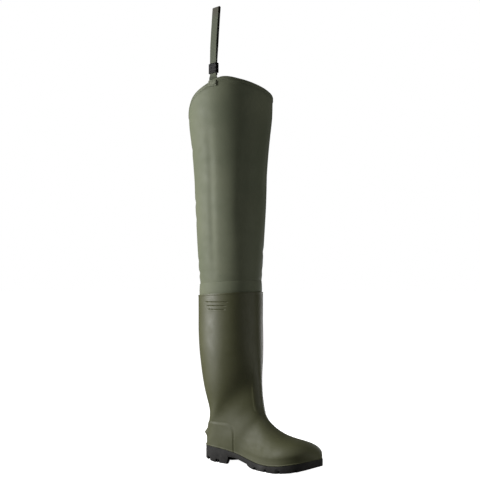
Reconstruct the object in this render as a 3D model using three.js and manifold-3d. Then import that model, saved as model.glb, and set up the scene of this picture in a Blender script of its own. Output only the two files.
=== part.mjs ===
// Hip wader for the right leg: a moulded boot on a cleated sole, with a coated fabric leg,
// a slanted collar and a webbing hanging loop. Millimetres, +X to the toe, +Y to the inner
// side of the leg, +Z up. Until the last step the origin is on the shaft's axis, on the floor.
import * as THREE from 'three';
import { mergeVertices } from 'three/addons/utils/BufferGeometryUtils.js';
import Module from 'manifold-3d';

const wasm = await Module();
wasm.setup();

// Sole
const SOLE_LENGTH = 294.5;
const HEEL_BEHIND_SHAFT = 61; // from the shaft's axis back to the heel
const BALL_WIDTH = 107;
const HEEL_SEAT_HEIGHT = 33; // top of the sole at the heel
const ARCH_HEIGHT = 16.4; // underside of the waist just before the heel
const FOREFOOT_TREAD_DEPTH = 6;
const HEEL_TREAD_DEPTH = 8;
const GROOVE_WIDTH = 4;
const WAIST_RECESS = 3;

// Boot
const BOOT_WALL = 2.5;
const INSTEP_HEIGHT = 168; // where the top line of the foot becomes the front of the shaft
const RIM_HEIGHT = 369;
const RIM_SLANT = 9; // the rim's front stands this much over its back
const SHAFT_DEPTH = 156; // front to back
const SHAFT_BREADTH = 124; // side to side
const SOLE_LEDGE = 1; // the sole's edge stands this far outside the boot
const WELT_HEIGHT = 2;
const WELT_PROUD = 0.6;
const PANEL_STEP = 0.9; // counter and instep panel over the boot's wall
const RIM_GROOVE = 1.1; // depth of the three grooves under the rim
const RIM_GROOVE_HEIGHT = 2.2;
const STRIP_WIDTH = 33; // the raised strip over the instep
const STRIP_LOW = 112.5;
const STRIP_HIGH = 170;
const SPUR_REACH = 5;
const SPUR_HEIGHT = 60;
const HEEL_RADIUS = 36; // of the heel's back, seen from above
const COUNTER_FRONT = 0.336; // station where the heel counter ends
const COUNTER_HEIGHT = 88;
const COUNTER_CORNER = 14;

// Insole
const INSOLE_THICKNESS = 4;
const INSOLE_EASE = 1; // all round, inside the boot's wall

// Fabric leg
const FABRIC = 1.2;
const LEG_TUCK = 22; // how deep the fabric leg goes into the boot
const BAND_TUCK = 14;
const BAND_HEIGHT = 25; // over the boot's rim
const BAND_THICKNESS = 1.1;
const COLLAR_HEIGHT = 800; // mean height of the slanted collar
const COLLAR_SLANT = 38; // how far the collar rises and falls from its mean
const THIGH_DEPTH = 197;
const THIGH_BREADTH = 173;
const COLLAR_FADE = 5; // power by which the collar's slant dies out down the leg
const HEM_WIDTH = 9;
const HEM_STEP = 0.7;

// Strap
const WEBBING_WIDTH = 20;
const WEBBING_THICKNESS = 1.4;
const STRAP_TOP = 986;
const STRAP_FORWARD = 21; // of the shaft's axis
const STRAP_GAP = 3.6; // between the loop's two layers
const STRAP_TURN = THREE.MathUtils.degToRad(-8); // of the loop's width, seen from above
const BUCKLE_HEIGHT = 21.5;
const BUCKLE_WALL = 2;
const BUCKLE_FACE = 1.4; // thickness in front of the slots and behind them
const BUCKLE_BASE = 844;
const TAB_HEIGHT = 12;
const TAB_WIDTH = 19;
const TAB_THICKNESS = 1.2;
const TAB_DROP = 1; // of its top below the collar

const GAP = 0.3; // between pieces that touch

// Plan of the sole: station as a share of the length from the heel, and how far the outline
// lies to the outer side (negative) or inner side, as a share of half the ball's width.
const PLAN = [
  { at: 0.0, side: 0.0 },
  { at: 0.031, side: -0.43 },
  { at: 0.105, side: -0.665 },
  { at: 0.224, side: -0.7 },
  { at: 0.36, side: -0.675 },
  { at: 0.496, side: -0.795 },
  { at: 0.615, side: -0.935 },
  { at: 0.717, side: -0.985 },
  { at: 0.818, side: -0.935 },
  { at: 0.903, side: -0.74 },
  { at: 0.968, side: -0.39 },
  { at: 1.0, side: 0.13 },
  { at: 0.978, side: 0.57 },
  { at: 0.92, side: 0.83 },
  { at: 0.835, side: 0.965 },
  { at: 0.733, side: 1.01 },
  { at: 0.632, side: 0.935 },
  { at: 0.513, side: 0.75 },
  { at: 0.394, side: 0.62 },
  { at: 0.275, side: 0.64 },
  { at: 0.173, side: 0.685 },
  { at: 0.088, side: 0.625 },
  { at: 0.027, side: 0.38 },
];

// Top of the sole, which is the boot's bottom edge: height as a share of HEEL_SEAT_HEIGHT.
const SEAT = [
  { at: 0.0, high: 1.0 },
  { at: 0.1, high: 0.995 },
  { at: 0.19, high: 0.96 },
  { at: 0.28, high: 0.89 },
  { at: 0.363, high: 0.76 },
  { at: 0.483, high: 0.55 },
  { at: 0.58, high: 0.42 },
  { at: 0.66, high: 0.385 },
  { at: 0.74, high: 0.415 },
  { at: 0.81, high: 0.49 },
  { at: 0.9, high: 0.65 },
  { at: 0.96, high: 0.79 },
  { at: 1.0, high: 0.895 },
];

// Underside of the sole: height as a share of ARCH_HEIGHT. The heel's front face is steep.
const UNDERSIDE = [
  { at: -0.01, high: 0.55 },
  { at: 0.03, high: 0.33 },
  { at: 0.085, high: 0.18 },
  { at: 0.13, high: 0.07 },
  { at: 0.17, high: 0.0 },
  { at: 0.276, high: 0.0 },
  { at: 0.288, high: 1.0 },
  { at: 0.35, high: 0.95 },
  { at: 0.41, high: 0.74 },
  { at: 0.479, high: 0.5 },
  { at: 0.489, high: 0.3 },
  { at: 0.513, high: 0.11 },
  { at: 0.55, high: 0.0 },
  { at: 0.75, high: 0.0 },
  { at: 0.8, high: 0.08 },
  { at: 0.86, high: 0.22 },
  { at: 0.91, high: 0.36 },
  { at: 0.96, high: 0.64 },
  { at: 1.01, high: 1.1 },
];

// Sections of the foot, from the toe back to the heel. Each plane runs from the sole (seat, share
// of the length) to the top line (crest, share of the length; high, share of INSTEP_HEIGHT).
// wide: widest half over the half of the sole there; level: share of the way up at which it is
// widest; round: power of the curve over the top.
const FOOT_SECTIONS = [
  { seat: 0.999, crest: 0.999, high: 0.215, wide: 1.0, level: 0.45, round: 2.2 },
  { seat: 0.992, crest: 0.994, high: 0.245, wide: 1.0, level: 0.45, round: 2.3 },
  { seat: 0.972, crest: 0.978, high: 0.283, wide: 1.0, level: 0.44, round: 2.4 },
  { seat: 0.938, crest: 0.95, high: 0.317, wide: 1.0, level: 0.42, round: 2.4 },
  { seat: 0.884, crest: 0.902, high: 0.345, wide: 1.0, level: 0.4, round: 2.4 },
  { seat: 0.809, crest: 0.834, high: 0.366, wide: 1.0, level: 0.37, round: 2.3 },
  { seat: 0.72, crest: 0.753, high: 0.395, wide: 0.99, level: 0.33, round: 2.15 },
  { seat: 0.625, crest: 0.677, high: 0.447, wide: 0.98, level: 0.29, round: 2.0 },
  { seat: 0.53, crest: 0.613, high: 0.518, wide: 0.98, level: 0.27, round: 1.9 },
  { seat: 0.431, crest: 0.568, high: 0.592, wide: 1.0, level: 0.27, round: 1.9 },
  { seat: 0.33, crest: 0.541, high: 0.658, wide: 1.03, level: 0.28, round: 1.9 },
  { seat: 0.23, crest: 0.524, high: 0.722, wide: 1.02, level: 0.3, round: 1.95 },
  { seat: 0.135, crest: 0.515, high: 0.786, wide: 1.02, level: 0.32, round: 2.0 },
  { seat: 0.06, crest: 0.51, high: 0.85, wide: 1.02, level: 0.34, round: 2.0 },
  { seat: 0.018, crest: 0.505, high: 0.925, wide: 1.03, level: 0.36, round: 2.0 },
];
const HEEL_STATION = 0.2; // the heel's broadest place, which sets the sections behind it

// Sections of the leg, from the heel's lower corner up to the rim. back: 0 over the heel's back,
// 1 over the shaft's back; rise: height of the back point from the heel seat to the rim;
// front: share of half the shaft's depth; climb: height of the front point from INSTEP_HEIGHT
// to the rim; wide: share of half the shaft's breadth; level as above.
const LEG_SECTIONS = [
  { back: 0.0, rise: 0.0, front: 1.1, climb: 0.0, wide: 0.605, level: 0.37 },
  { back: 0.0, rise: 0.036, front: 1.092, climb: 0.058, wide: 0.62, level: 0.39 },
  { back: -0.09, rise: 0.082, front: 1.083, climb: 0.117, wide: 0.66, level: 0.4 },
  { back: -0.45, rise: 0.136, front: 1.07, climb: 0.18, wide: 0.718, level: 0.42 },
  { back: -0.66, rise: 0.196, front: 1.058, climb: 0.243, wide: 0.782, level: 0.44 },
  { back: -0.36, rise: 0.268, front: 1.045, climb: 0.311, wide: 0.855, level: 0.46 },
  { back: 0.147, rise: 0.353, front: 1.032, climb: 0.389, wide: 0.911, level: 0.48 },
  { back: 0.5, rise: 0.458, front: 1.019, climb: 0.457, wide: 0.952, level: 0.5 },
  { back: 0.741, rise: 0.564, front: 1.013, climb: 0.535, wide: 0.984, level: 0.5 },
  { back: 0.9, rise: 0.67, front: 1.006, climb: 0.618, wide: 0.995, level: 0.5 },
  { back: 1.0, rise: 0.775, front: 1.0, climb: 0.7, wide: 1.0, level: 0.5 },
  { back: 1.0, rise: 0.872, front: 1.0, climb: 0.803, wide: 1.0, level: 0.5 },
  { back: 1.0, rise: 1.0, front: 1.0, climb: 1.0, wide: 1.0, level: 0.5 },
];

// The fabric leg: up, share of the height from the boot's rim to the mean collar; spread, share
// of the way from its size in the boot to its size at the collar.
const THIGH_SECTIONS = [
  { up: 0.07, spread: 0.0 },
  { up: 0.128, spread: 0.05 },
  { up: 0.281, spread: 0.21 },
  { up: 0.436, spread: 0.35 },
  { up: 0.592, spread: 0.43 },
  { up: 0.696, spread: 0.59 },
  { up: 0.798, spread: 0.775 },
  { up: 0.9, spread: 0.945 },
];

// Rise of the collar over its mean, as a share of COLLAR_SLANT, at equal steps around the leg
// from the outer side by way of the front.
const COLLAR = [0.55, 0.94, 0.76, 0.48, 0.22, 0.05, -0.1, -0.27, -0.53, -0.82, -1.0, -0.96, -0.72, 0.06];

// Grooves of the tread. edge and apex: stations at the outline and on the centre line, as shares
// of the length; reach: share of half the ball's width that the groove runs out to.
const FOREFOOT_GROOVES = [
  { edge: 0.563, apex: 0.7, reach: 1.3 },
  { edge: 0.676, apex: 0.812, reach: 1.3 },
  { edge: 0.79, apex: 0.925, reach: 1.3 },
  { edge: 0.9, apex: 0.93, reach: 1.3 },
  { edge: 0.587, apex: 0.642, reach: 0.42 },
  { edge: 0.699, apex: 0.754, reach: 0.42 },
  { edge: 0.811, apex: 0.866, reach: 0.42 },
];
const HEEL_GROOVES = [
  { edge: 0.1, apex: 0.075, reach: 1.3 },
  { edge: 0.195, apex: 0.135, reach: 1.3 },
];
const HEEL_FRONT = 0.276; // station where the heel's tread ends
const NOTCH_DEPTH = 22; // of the V in the heel's front face
const LINK_LENGTH = 0.055; // of the grooves along the foot that end the short chevrons
const FOREFOOT_TREAD = { from: 0.5, to: 0.97 };
const HEEL_TREAD = { from: 0.02, to: 0.279 };
const HEEL_SPINE = { from: 0.09, width: 5.6 }; // the groove along the heel's middle
const RECESS = { from: 0.315, to: 0.45, near: 0.25, far: 0.53 }; // beside the waist's middle plate

const BALL_HALF = BALL_WIDTH / 2;
const SHAFT_HALF = SHAFT_DEPTH / 2;
const BROAD_HALF = SHAFT_BREADTH / 2;
const EDGE_ROLL = 1.5; // the boot's side bulges this far over its lower edge
const TRIM = 4; // forms run this far past a cut
const LEAST_FOOT = 1; // half of a section's width at its lower end, where it comes to a point
const LEAST_WIDE = 1.5; // half of its greatest width there
const AROUND_LEG = 40;

// Numbers along smooth curves

function hermite(before, from, to, after, t) {
  const slopeFrom = (to - before) / 2;
  const slopeTo = (after - from) / 2;
  const t2 = t * t;
  const t3 = t2 * t;
  return (2 * t3 - 3 * t2 + 1) * from + (t3 - 2 * t2 + t) * slopeFrom
    + (3 * t2 - 2 * t3) * to + (t3 - t2) * slopeTo;
}

// The rows with steps - 1 more between each two, on a smooth curve through them.
function denser(rows, steps) {
  const result = [];
  for (let i = 0; i < rows.length - 1; i++) {
    const before = rows[Math.max(i - 1, 0)];
    const after = rows[Math.min(i + 2, rows.length - 1)];
    for (let s = 0; s < steps; s++) {
      const row = {};
      for (const key of Object.keys(rows[i])) {
        row[key] = hermite(before[key], rows[i][key], rows[i + 1][key], after[key], s / steps);
      }
      result.push(row);
    }
  }
  result.push(rows[rows.length - 1]);
  return result;
}

// Straight interpolation in a table whose column at rises.
function valueAt(rows, at, key) {
  const last = rows.length - 1;
  const i = Math.min(Math.max(rows.findIndex((row) => row.at > at), 1), last);
  const from = rows[at >= rows[last].at ? last - 1 : i - 1];
  const to = rows[at >= rows[last].at ? last : i];
  return from[key] + (to[key] - from[key]) * (at - from.at) / (to.at - from.at);
}

const SEAT_LINE = denser(SEAT, 2);
const stationX = (share) => share * SOLE_LENGTH - HEEL_BEHIND_SHAFT;
const seatHeight = (share) => HEEL_SEAT_HEIGHT * valueAt(SEAT_LINE, share, 'high');
const rimHeight = (x) => RIM_HEIGHT + RIM_SLANT / 2 * x / SHAFT_HALF;

// The sole's outline, inset all round by a distance, as points of a closed curve.
function outline(inset = 0) {
  const places = PLAN.map((row) => new THREE.Vector3(stationX(row.at), row.side * BALL_HALF, 0));
  const curve = new THREE.CatmullRomCurve3(places, true, 'centripetal');
  const count = PLAN.length * 3;
  const points = [];
  for (let i = 0; i < count; i++) {
    const place = curve.getPoint(i / count);
    const tangent = curve.getTangent(i / count);
    points.push(new THREE.Vector2(place.x - tangent.y * inset, place.y + tangent.x * inset));
  }
  return points;
}

// The outline's two sides at a station: the middle and half of the width there.
const EDGE = outline();
function soleWidth(share) {
  const x = stationX(Math.min(Math.max(share, 0.0005), 0.9995));
  const crossings = [];
  EDGE.forEach((from, i) => {
    const to = EDGE[(i + 1) % EDGE.length];
    if ((from.x - x) * (to.x - x) <= 0 && from.x !== to.x) {
      crossings.push(from.y + (to.y - from.y) * (x - from.x) / (to.x - from.x));
    }
  });
  const low = Math.min(...crossings);
  const high = Math.max(...crossings);
  return { middle: (low + high) / 2, half: (high - low) / 2 };
}

// Solids

function solidFrom(geometry) {
  geometry.deleteAttribute('normal');
  geometry.deleteAttribute('uv');
  const merged = mergeVertices(geometry, 1e-4);
  return new wasm.Manifold(new wasm.Mesh({
    numProp: 3,
    vertProperties: new Float32Array(merged.attributes.position.array),
    triVerts: new Uint32Array(merged.index.array),
  }));
}

// A solid through rings of points. Without joined, the first and last ring are capped;
// with it, the last ring meets the first.
function loft(rings, joined = false) {
  const count = rings[0].length;
  const points = rings.flat();
  const faces = [];
  const spans = joined ? rings.length : rings.length - 1;
  for (let r = 0; r < spans; r++) {
    const near = r * count;
    const far = ((r + 1) % rings.length) * count;
    for (let i = 0; i < count; i++) {
      const next = (i + 1) % count;
      faces.push([near + i, near + next, far + next], [near + i, far + next, far + i]);
    }
  }
  if (!joined) {
    for (const [ring, flip] of [[0, true], [rings.length - 1, false]]) {
      const middle = new THREE.Vector3();
      rings[ring].forEach((point) => middle.addScaledVector(point, 1 / count));
      const centre = points.push(middle) - 1;
      for (let i = 0; i < count; i++) {
        const a = ring * count + i;
        const b = ring * count + (i + 1) % count;
        faces.push(flip ? [centre, b, a] : [centre, a, b]);
      }
    }
  }
  let volume = 0;
  faces.forEach(([a, b, c]) => { volume += points[a].dot(points[b].clone().cross(points[c])); });
  const geometry = new THREE.BufferGeometry();
  const places = points.flatMap((point) => point.toArray());
  geometry.setAttribute('position', new THREE.Float32BufferAttribute(places, 3));
  geometry.setIndex(faces.flatMap(([a, b, c]) => (volume > 0 ? [a, b, c] : [a, c, b])));
  return solidFrom(geometry);
}

// A plan shape of [x, y] points, from one height to another.
function upright(points, low, high, holes = []) {
  const outer = points.map(([x, y]) => new THREE.Vector2(x, y));
  const shape = new THREE.Shape(THREE.ShapeUtils.isClockWise(outer) ? outer.reverse() : outer);
  for (const hole of holes) {
    shape.holes.push(new THREE.Path(hole.map(([x, y]) => new THREE.Vector2(x, y))));
  }
  const geometry = new THREE.ExtrudeGeometry(shape, { depth: high - low, bevelEnabled: false });
  return solidFrom(geometry.translate(0, 0, low));
}

// A side view of [x, z] points, from one y to another.
function sideways(points, from = -2 * BALL_HALF, to = 2 * BALL_HALF) {
  const shape = new THREE.Shape(points.map(([x, z]) => new THREE.Vector2(x, z)));
  const geometry = new THREE.ExtrudeGeometry(shape, { depth: to - from, bevelEnabled: false });
  return solidFrom(geometry.rotateX(Math.PI / 2).translate(0, to, 0));
}

const joinAll = (solids) => solids.reduce((all, solid) => all.add(solid));

// The line of the seat from heel to toe, moved up by a distance.
function seatLine(up) {
  const ends = [{ at: -0.05, high: SEAT[0].high }, ...SEAT_LINE, { at: 1.05, high: SEAT.at(-1).high }];
  return ends.map((row) => [stationX(row.at), HEEL_SEAT_HEIGHT * row.high + up]);
}

// The space between the seat line at two heights, or from far below it.
function seatBand(low, high) {
  const floor = low === undefined
    ? [[stationX(-0.05), -HEEL_SEAT_HEIGHT], [stationX(1.05), -HEEL_SEAT_HEIGHT]]
    : seatLine(low);
  return sideways([...floor, ...seatLine(high).reverse()]);
}

// Boot form

// One section as a ring: across the sole, up one side, over the top and down the other.
const LOWER_STEPS = 7;
const UPPER_STEPS = 7;
function sectionRing(s) {
  const side = [];
  for (let i = 0; i <= LOWER_STEPS; i++) {
    const turn = i / LOWER_STEPS * Math.PI / 2;
    side.push([s.foot + (s.wide - s.foot) * Math.sin(turn), s.level * (1 - Math.cos(turn))]);
  }
  for (let i = 1; i < UPPER_STEPS; i++) {
    const turn = i / UPPER_STEPS * Math.PI / 2;
    side.push([
      s.wide * Math.cos(turn) ** (2 / s.round),
      s.level + (1 - s.level) * Math.sin(turn) ** (2 / s.round),
    ]);
  }
  const mirrored = side.map(([out, up]) => [-out, up]).reverse();
  return [[0, 0], ...side, [0, 1], ...mirrored].map(([out, up]) => new THREE.Vector3(
    s.seat.x + (s.crest.x - s.seat.x) * up,
    s.middle + out,
    s.seat.y + (s.crest.y - s.seat.y) * up,
  ));
}

// The profile's sections with the surface moved in by a distance. The seat of the foot goes
// down by TRIM and more for the inside, so that the cut at the sole leaves it open.
function bootForm(inset = 0) {
  const drop = inset > 0 ? 2 * TRIM : TRIM;
  const foot = denser(FOOT_SECTIONS, 2).map((row) => {
    const { middle, half } = soleWidth(row.seat);
    const broad = soleWidth(Math.max(row.seat, HEEL_STATION)).half * row.wide;
    const pull = inset + SOLE_LEDGE;
    const shorter = 1 - 2 * pull / SOLE_LENGTH;
    const seatX = stationX(row.seat) * shorter + pull * (1 - 2 * HEEL_BEHIND_SHAFT / SOLE_LENGTH);
    return {
      seat: new THREE.Vector2(seatX, seatHeight(row.seat) - drop),
      crest: new THREE.Vector2(stationX(row.crest), INSTEP_HEIGHT * row.high),
      middle,
      foot: Math.max(half - pull - EDGE_ROLL, LEAST_FOOT),
      wide: Math.max(broad - pull, LEAST_WIDE),
      level: row.level,
      round: row.round,
      onSeat: true,
    };
  });
  const backRim = rimHeight(-SHAFT_HALF);
  const frontRim = rimHeight(SHAFT_HALF);
  const heelBack = -HEEL_BEHIND_SHAFT + SOLE_LEDGE;
  const leg = LEG_SECTIONS.map((row, i) => ({
    seat: new THREE.Vector2(
      heelBack - row.back * (SHAFT_HALF + heelBack),
      HEEL_SEAT_HEIGHT + row.rise * (backRim - HEEL_SEAT_HEIGHT) - (i === 0 ? drop : 0),
    ),
    crest: new THREE.Vector2(
      row.front * SHAFT_HALF,
      INSTEP_HEIGHT + row.climb * (frontRim - INSTEP_HEIGHT),
    ),
    middle: 0,
    foot: LEAST_FOOT,
    wide: row.wide * BROAD_HALF - inset,
    level: row.level,
    round: 2,
  }));
  const all = [...foot, ...leg];
  const moved = all.map((s, i) => {
    const before = all[Math.max(i - 1, 0)];
    const after = all[Math.min(i + 1, all.length - 1)];
    const inward = (key, other) => {
      const along = after[key].clone().sub(before[key]);
      const normal = new THREE.Vector2(-along.y, along.x).normalize();
      const towards = s[other].clone().sub(s[key]);
      return normal.multiplyScalar(normal.dot(towards) < 0 ? -inset : inset);
    };
    const heelCorner = i === foot.length;
    const seatMove = heelCorner ? new THREE.Vector2(inset, 0) : inward('seat', 'crest');
    return {
      ...s,
      seat: s.onSeat ? s.seat : s.seat.clone().add(seatMove),
      crest: s.crest.clone().add(inward('crest', 'seat')),
    };
  });
  if (inset > 0) {
    const top = moved.at(-1);
    const lift = new THREE.Vector2(0, TRIM);
    moved.push({ ...top, seat: top.seat.clone().add(lift), crest: top.crest.clone().add(lift) });
  }
  return loft(moved.map(sectionRing));
}

// A raised panel: the boot's own surface moved out, inside another solid.
const panel = (solid) => bootForm(-PANEL_STEP).intersect(solid);

// A quarter circle from its top to its front.
function arc(x, z, radius) {
  const steps = 5;
  return Array.from({ length: steps + 1 }, (_, i) => {
    const turn = i / steps * Math.PI / 2;
    return [x + radius * Math.sin(turn), z + radius * Math.cos(turn)];
  });
}

// The heel counter, whose top falls a little towards its rounded front corner.
function counterShape() {
  const front = stationX(COUNTER_FRONT);
  const back = -HEEL_BEHIND_SHAFT - TRIM;
  const fall = 3;
  const corner = arc(front - COUNTER_CORNER, COUNTER_HEIGHT - fall - COUNTER_CORNER, COUNTER_CORNER);
  const bend = back + (front - back) / 3;
  return [[back, 0], [back, COUNTER_HEIGHT + 1], [bend, COUNTER_HEIGHT], ...corner, [front, 0]];
}

// The ledge at the back of the heel for pushing the boot off.
function spur() {
  const centre = -HEEL_BEHIND_SHAFT + HEEL_RADIUS - SPUR_REACH + SOLE_LEDGE;
  const root = HEEL_RADIUS - SPUR_REACH;
  const inside = root - TRIM;
  const below = -7;
  const above = 9;
  const profile = [[inside, below - 2], [root, below], [HEEL_RADIUS, 0], [root, above], [inside, above + 1]];
  const points = [...profile, profile[0]].map(([out, up]) => new THREE.Vector2(out, up));
  const geometry = new THREE.LatheGeometry(points, AROUND_LEG);
  geometry.rotateX(Math.PI / 2).translate(centre, 0, SPUR_HEIGHT);
  const front = centre - HEEL_RADIUS / 3;
  const back = centre - 2 * HEEL_RADIUS;
  const behind = sideways([[front, 0], [front, RIM_HEIGHT], [back, RIM_HEIGHT], [back, 0]]);
  return solidFrom(geometry).intersect(behind);
}

// Three short grooves under the rim on the outer side, each shorter than the one above it.
const RIM_GROOVES = [
  { high: 0.951, back: -0.22, front: 0.48 },
  { high: 0.929, back: -0.18, front: 0.43 },
  { high: 0.907, back: -0.14, front: 0.42 },
];
function rimGrooves() {
  const cuts = RIM_GROOVES.map(({ high, back, front }) => {
    const low = high * RIM_HEIGHT - RIM_GROOVE_HEIGHT / 2;
    const top = low + RIM_GROOVE_HEIGHT;
    const [rear, fore] = [back * SHAFT_HALF, front * SHAFT_HALF];
    return sideways([[rear, low], [fore, low], [fore, top], [rear, top]], -2 * BROAD_HALF, 0);
  });
  return joinAll(cuts).subtract(bootForm(RIM_GROOVE));
}

// The raised strip over the instep, from the ankle's crease up the front of the shaft.
function instepStrip() {
  const half = STRIP_WIDTH / 2;
  const cut = half / 3;
  const front = [[-half, STRIP_LOW + cut], [cut - half, STRIP_LOW], [half - cut, STRIP_LOW],
    [half, STRIP_LOW + cut], [half - cut, STRIP_HIGH], [cut - half, STRIP_HIGH]];
  const shape = new THREE.Shape(front.map(([y, z]) => new THREE.Vector2(y, z)));
  const geometry = new THREE.ExtrudeGeometry(shape, { depth: SHAFT_DEPTH / 2, bevelEnabled: false });
  geometry.rotateX(Math.PI / 2).rotateZ(Math.PI / 2).translate(SHAFT_HALF / 2, 0, 0);
  return solidFrom(geometry);
}

function boot() {
  const welt = upright(outline(-WELT_PROUD).map((p) => [p.x, p.y]), 0, 2 * HEEL_SEAT_HEIGHT)
    .intersect(seatBand(-TRIM / 2, GAP + WELT_HEIGHT));
  const outside = joinAll([
    bootForm(0),
    welt,
    panel(sideways(counterShape())),
    panel(instepStrip()),
    spur(),
  ]);
  const inside = bootForm(BOOT_WALL);
  return outside.subtract(rimGrooves()).subtract(inside).subtract(seatBand(undefined, GAP));
}

// Outsole

// The underside from heel to toe, moved up by a distance, between two stations.
function underside(up, from, to) {
  const rows = UNDERSIDE.filter((row) => row.at > from && row.at < to);
  const ends = (at) => ({ at, high: valueAt(UNDERSIDE, at, 'high') });
  return [ends(from), ...rows, ends(to)].map((row) => [stationX(row.at), ARCH_HEIGHT * row.high + up]);
}

// A V-shaped groove in plan, with its point on the centre line.
function chevron({ edge, apex, reach }) {
  const tip = stationX(apex);
  const slope = (stationX(edge) - tip) / Math.min(reach, 1);
  const half = GROOVE_WIDTH / 2;
  const out = reach * BALL_HALF;
  const end = tip + slope * reach;
  const plan = [[tip + half, 0], [end + half, out], [end - half, out],
    [tip - half, 0], [end - half, -out], [end + half, -out]];
  return upright(plan, -HEEL_SEAT_HEIGHT, HEEL_SEAT_HEIGHT);
}

function block(x0, x1, y0, y1) {
  return upright([[x0, y0], [x1, y0], [x1, y1], [x0, y1]], -HEEL_SEAT_HEIGHT, HEEL_SEAT_HEIGHT);
}

// What the cutters may take: everything up to a depth over the underside.
function treadZone(depth, { from, to }) {
  return sideways([...underside(depth, from, to), [stationX(to), -TRIM], [stationX(from), -TRIM]]);
}

// The V that the heel's front face makes, with its point towards the back.
function heelNotch() {
  const front = stationX(HEEL_FRONT) + TRIM;
  const tip = stationX(HEEL_FRONT) - NOTCH_DEPTH;
  return upright([[tip, 0], [front, -HEEL_RADIUS], [front, HEEL_RADIUS]], -HEEL_SEAT_HEIGHT, ARCH_HEIGHT);
}

function outsole() {
  const ends = { from: UNDERSIDE[0].at, to: UNDERSIDE.at(-1).at };
  const side = sideways([...underside(0, ends.from, ends.to), ...seatLine(0).reverse()]);
  const body = upright(outline().map((p) => [p.x, p.y]), -TRIM, 2 * HEEL_SEAT_HEIGHT).intersect(side);
  const short = FOREFOOT_GROOVES.filter((groove) => groove.reach < 1);
  const links = short.flatMap((groove) => [-1, 1].map((hand) => {
    const y = hand * groove.reach * BALL_HALF;
    const x = stationX(groove.edge);
    const half = GROOVE_WIDTH / 2;
    return block(x - LINK_LENGTH * SOLE_LENGTH, x + half, y - half, y + half);
  }));
  const forefoot = joinAll([...FOREFOOT_GROOVES.map(chevron), ...links])
    .intersect(treadZone(FOREFOOT_TREAD_DEPTH, FOREFOOT_TREAD));
  const spineHalf = HEEL_SPINE.width / 2;
  const spine = block(stationX(HEEL_SPINE.from), stationX(HEEL_FRONT), -spineHalf, spineHalf);
  const heel = joinAll([...HEEL_GROOVES.map(chevron), spine])
    .intersect(treadZone(HEEL_TREAD_DEPTH, HEEL_TREAD));
  const recess = joinAll([-1, 1].map((hand) => {
    const edges = [hand * RECESS.near * BALL_HALF, hand * RECESS.far * BALL_HALF];
    return block(stationX(RECESS.from), stationX(RECESS.to), Math.min(...edges), Math.max(...edges));
  })).intersect(treadZone(WAIST_RECESS, RECESS));
  return body.subtract(forefoot).subtract(heel).subtract(recess).subtract(heelNotch());
}

function insole() {
  const inset = SOLE_LEDGE + EDGE_ROLL + BOOT_WALL + INSOLE_EASE;
  return upright(outline(inset).map((p) => [p.x, p.y]), 0, 2 * HEEL_SEAT_HEIGHT)
    .intersect(seatBand(GAP, GAP + INSOLE_THICKNESS));
}

// Fabric leg

const BAND_EASE = 0.8; // between the band and the boot, whose flat facets come closer
const legInBoot = {
  depth: SHAFT_HALF - BOOT_WALL - BAND_EASE - BAND_THICKNESS - GAP,
  breadth: BROAD_HALF - BOOT_WALL - BAND_EASE - BAND_THICKNESS - GAP,
};
const legAtCollar = { depth: THIGH_DEPTH / 2, breadth: THIGH_BREADTH / 2 };

function collarHeight(angle) {
  const place = (angle / (2 * Math.PI) * COLLAR.length + COLLAR.length) % COLLAR.length;
  const i = Math.floor(place);
  const near = [-1, 0, 1, 2].map((step) => COLLAR[(i + step + COLLAR.length) % COLLAR.length]);
  return COLLAR_HEIGHT + COLLAR_SLANT * hermite(...near, place - i);
}

// A point of the leg's outer surface moved out by a distance, with angle 0 at the outer side.
function legPoint(angle, spread, out, height) {
  const depth = legInBoot.depth + spread * (legAtCollar.depth - legInBoot.depth) + out;
  const breadth = legInBoot.breadth + spread * (legAtCollar.breadth - legInBoot.breadth) + out;
  const x = depth * Math.sin(angle);
  return new THREE.Vector3(x, -breadth * Math.cos(angle), height(x, angle));
}

function legRing(spread, out, height) {
  const turn = 2 * Math.PI / AROUND_LEG;
  return Array.from({ length: AROUND_LEG }, (_, i) => legPoint(i * turn, spread, out, height));
}

function thigh() {
  const tucked = (x) => rimHeight(x) - LEG_TUCK;
  const belowCollar = (drop) => (x, angle) => collarHeight(angle) - drop;
  const risen = (up) => (x, angle) => {
    const bend = (collarHeight(angle) - COLLAR_HEIGHT) * up ** COLLAR_FADE;
    return rimHeight(x) + up * (COLLAR_HEIGHT - RIM_HEIGHT) + bend;
  };
  const levels = [
    { spread: 0, height: tucked },
    ...THIGH_SECTIONS.map(({ up, spread }) => ({ spread, height: risen(up) })),
  ];
  const outside = levels.map(({ spread, height }) => legRing(spread, 0, height));
  outside.push(legRing(1, 0, belowCollar(HEM_WIDTH)));
  outside.push(legRing(1, HEM_STEP, belowCollar(HEM_WIDTH - HEM_STEP)));
  outside.push(legRing(1, HEM_STEP, belowCollar(0)));
  const inside = levels.map(({ spread, height }) => legRing(spread, -FABRIC, height));
  inside.push(legRing(1, -FABRIC, belowCollar(0)));
  return loft([...outside, ...inside.reverse()], true);
}

function shaftBand() {
  const low = (x) => rimHeight(x) - BAND_TUCK;
  const high = (x) => rimHeight(x) + BAND_HEIGHT;
  const inner = GAP;
  const outer = GAP + BAND_THICKNESS;
  const rings = [[outer, low], [outer, high], [inner, high], [inner, low]];
  return loft(rings.map(([out, height]) => legRing(0, out, height)), true);
}

// Strap

// A flat band: each place has its middle, the direction of its width and of its thickness.
function ribbon(places, width, thickness) {
  const corners = [[-1, -1], [1, -1], [1, 1], [-1, 1]];
  return loft(places.map(({ middle, across, out }) => corners.map(([u, v]) => middle.clone()
    .addScaledVector(across, u * width / 2)
    .addScaledVector(out, v * thickness / 2))));
}

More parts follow.
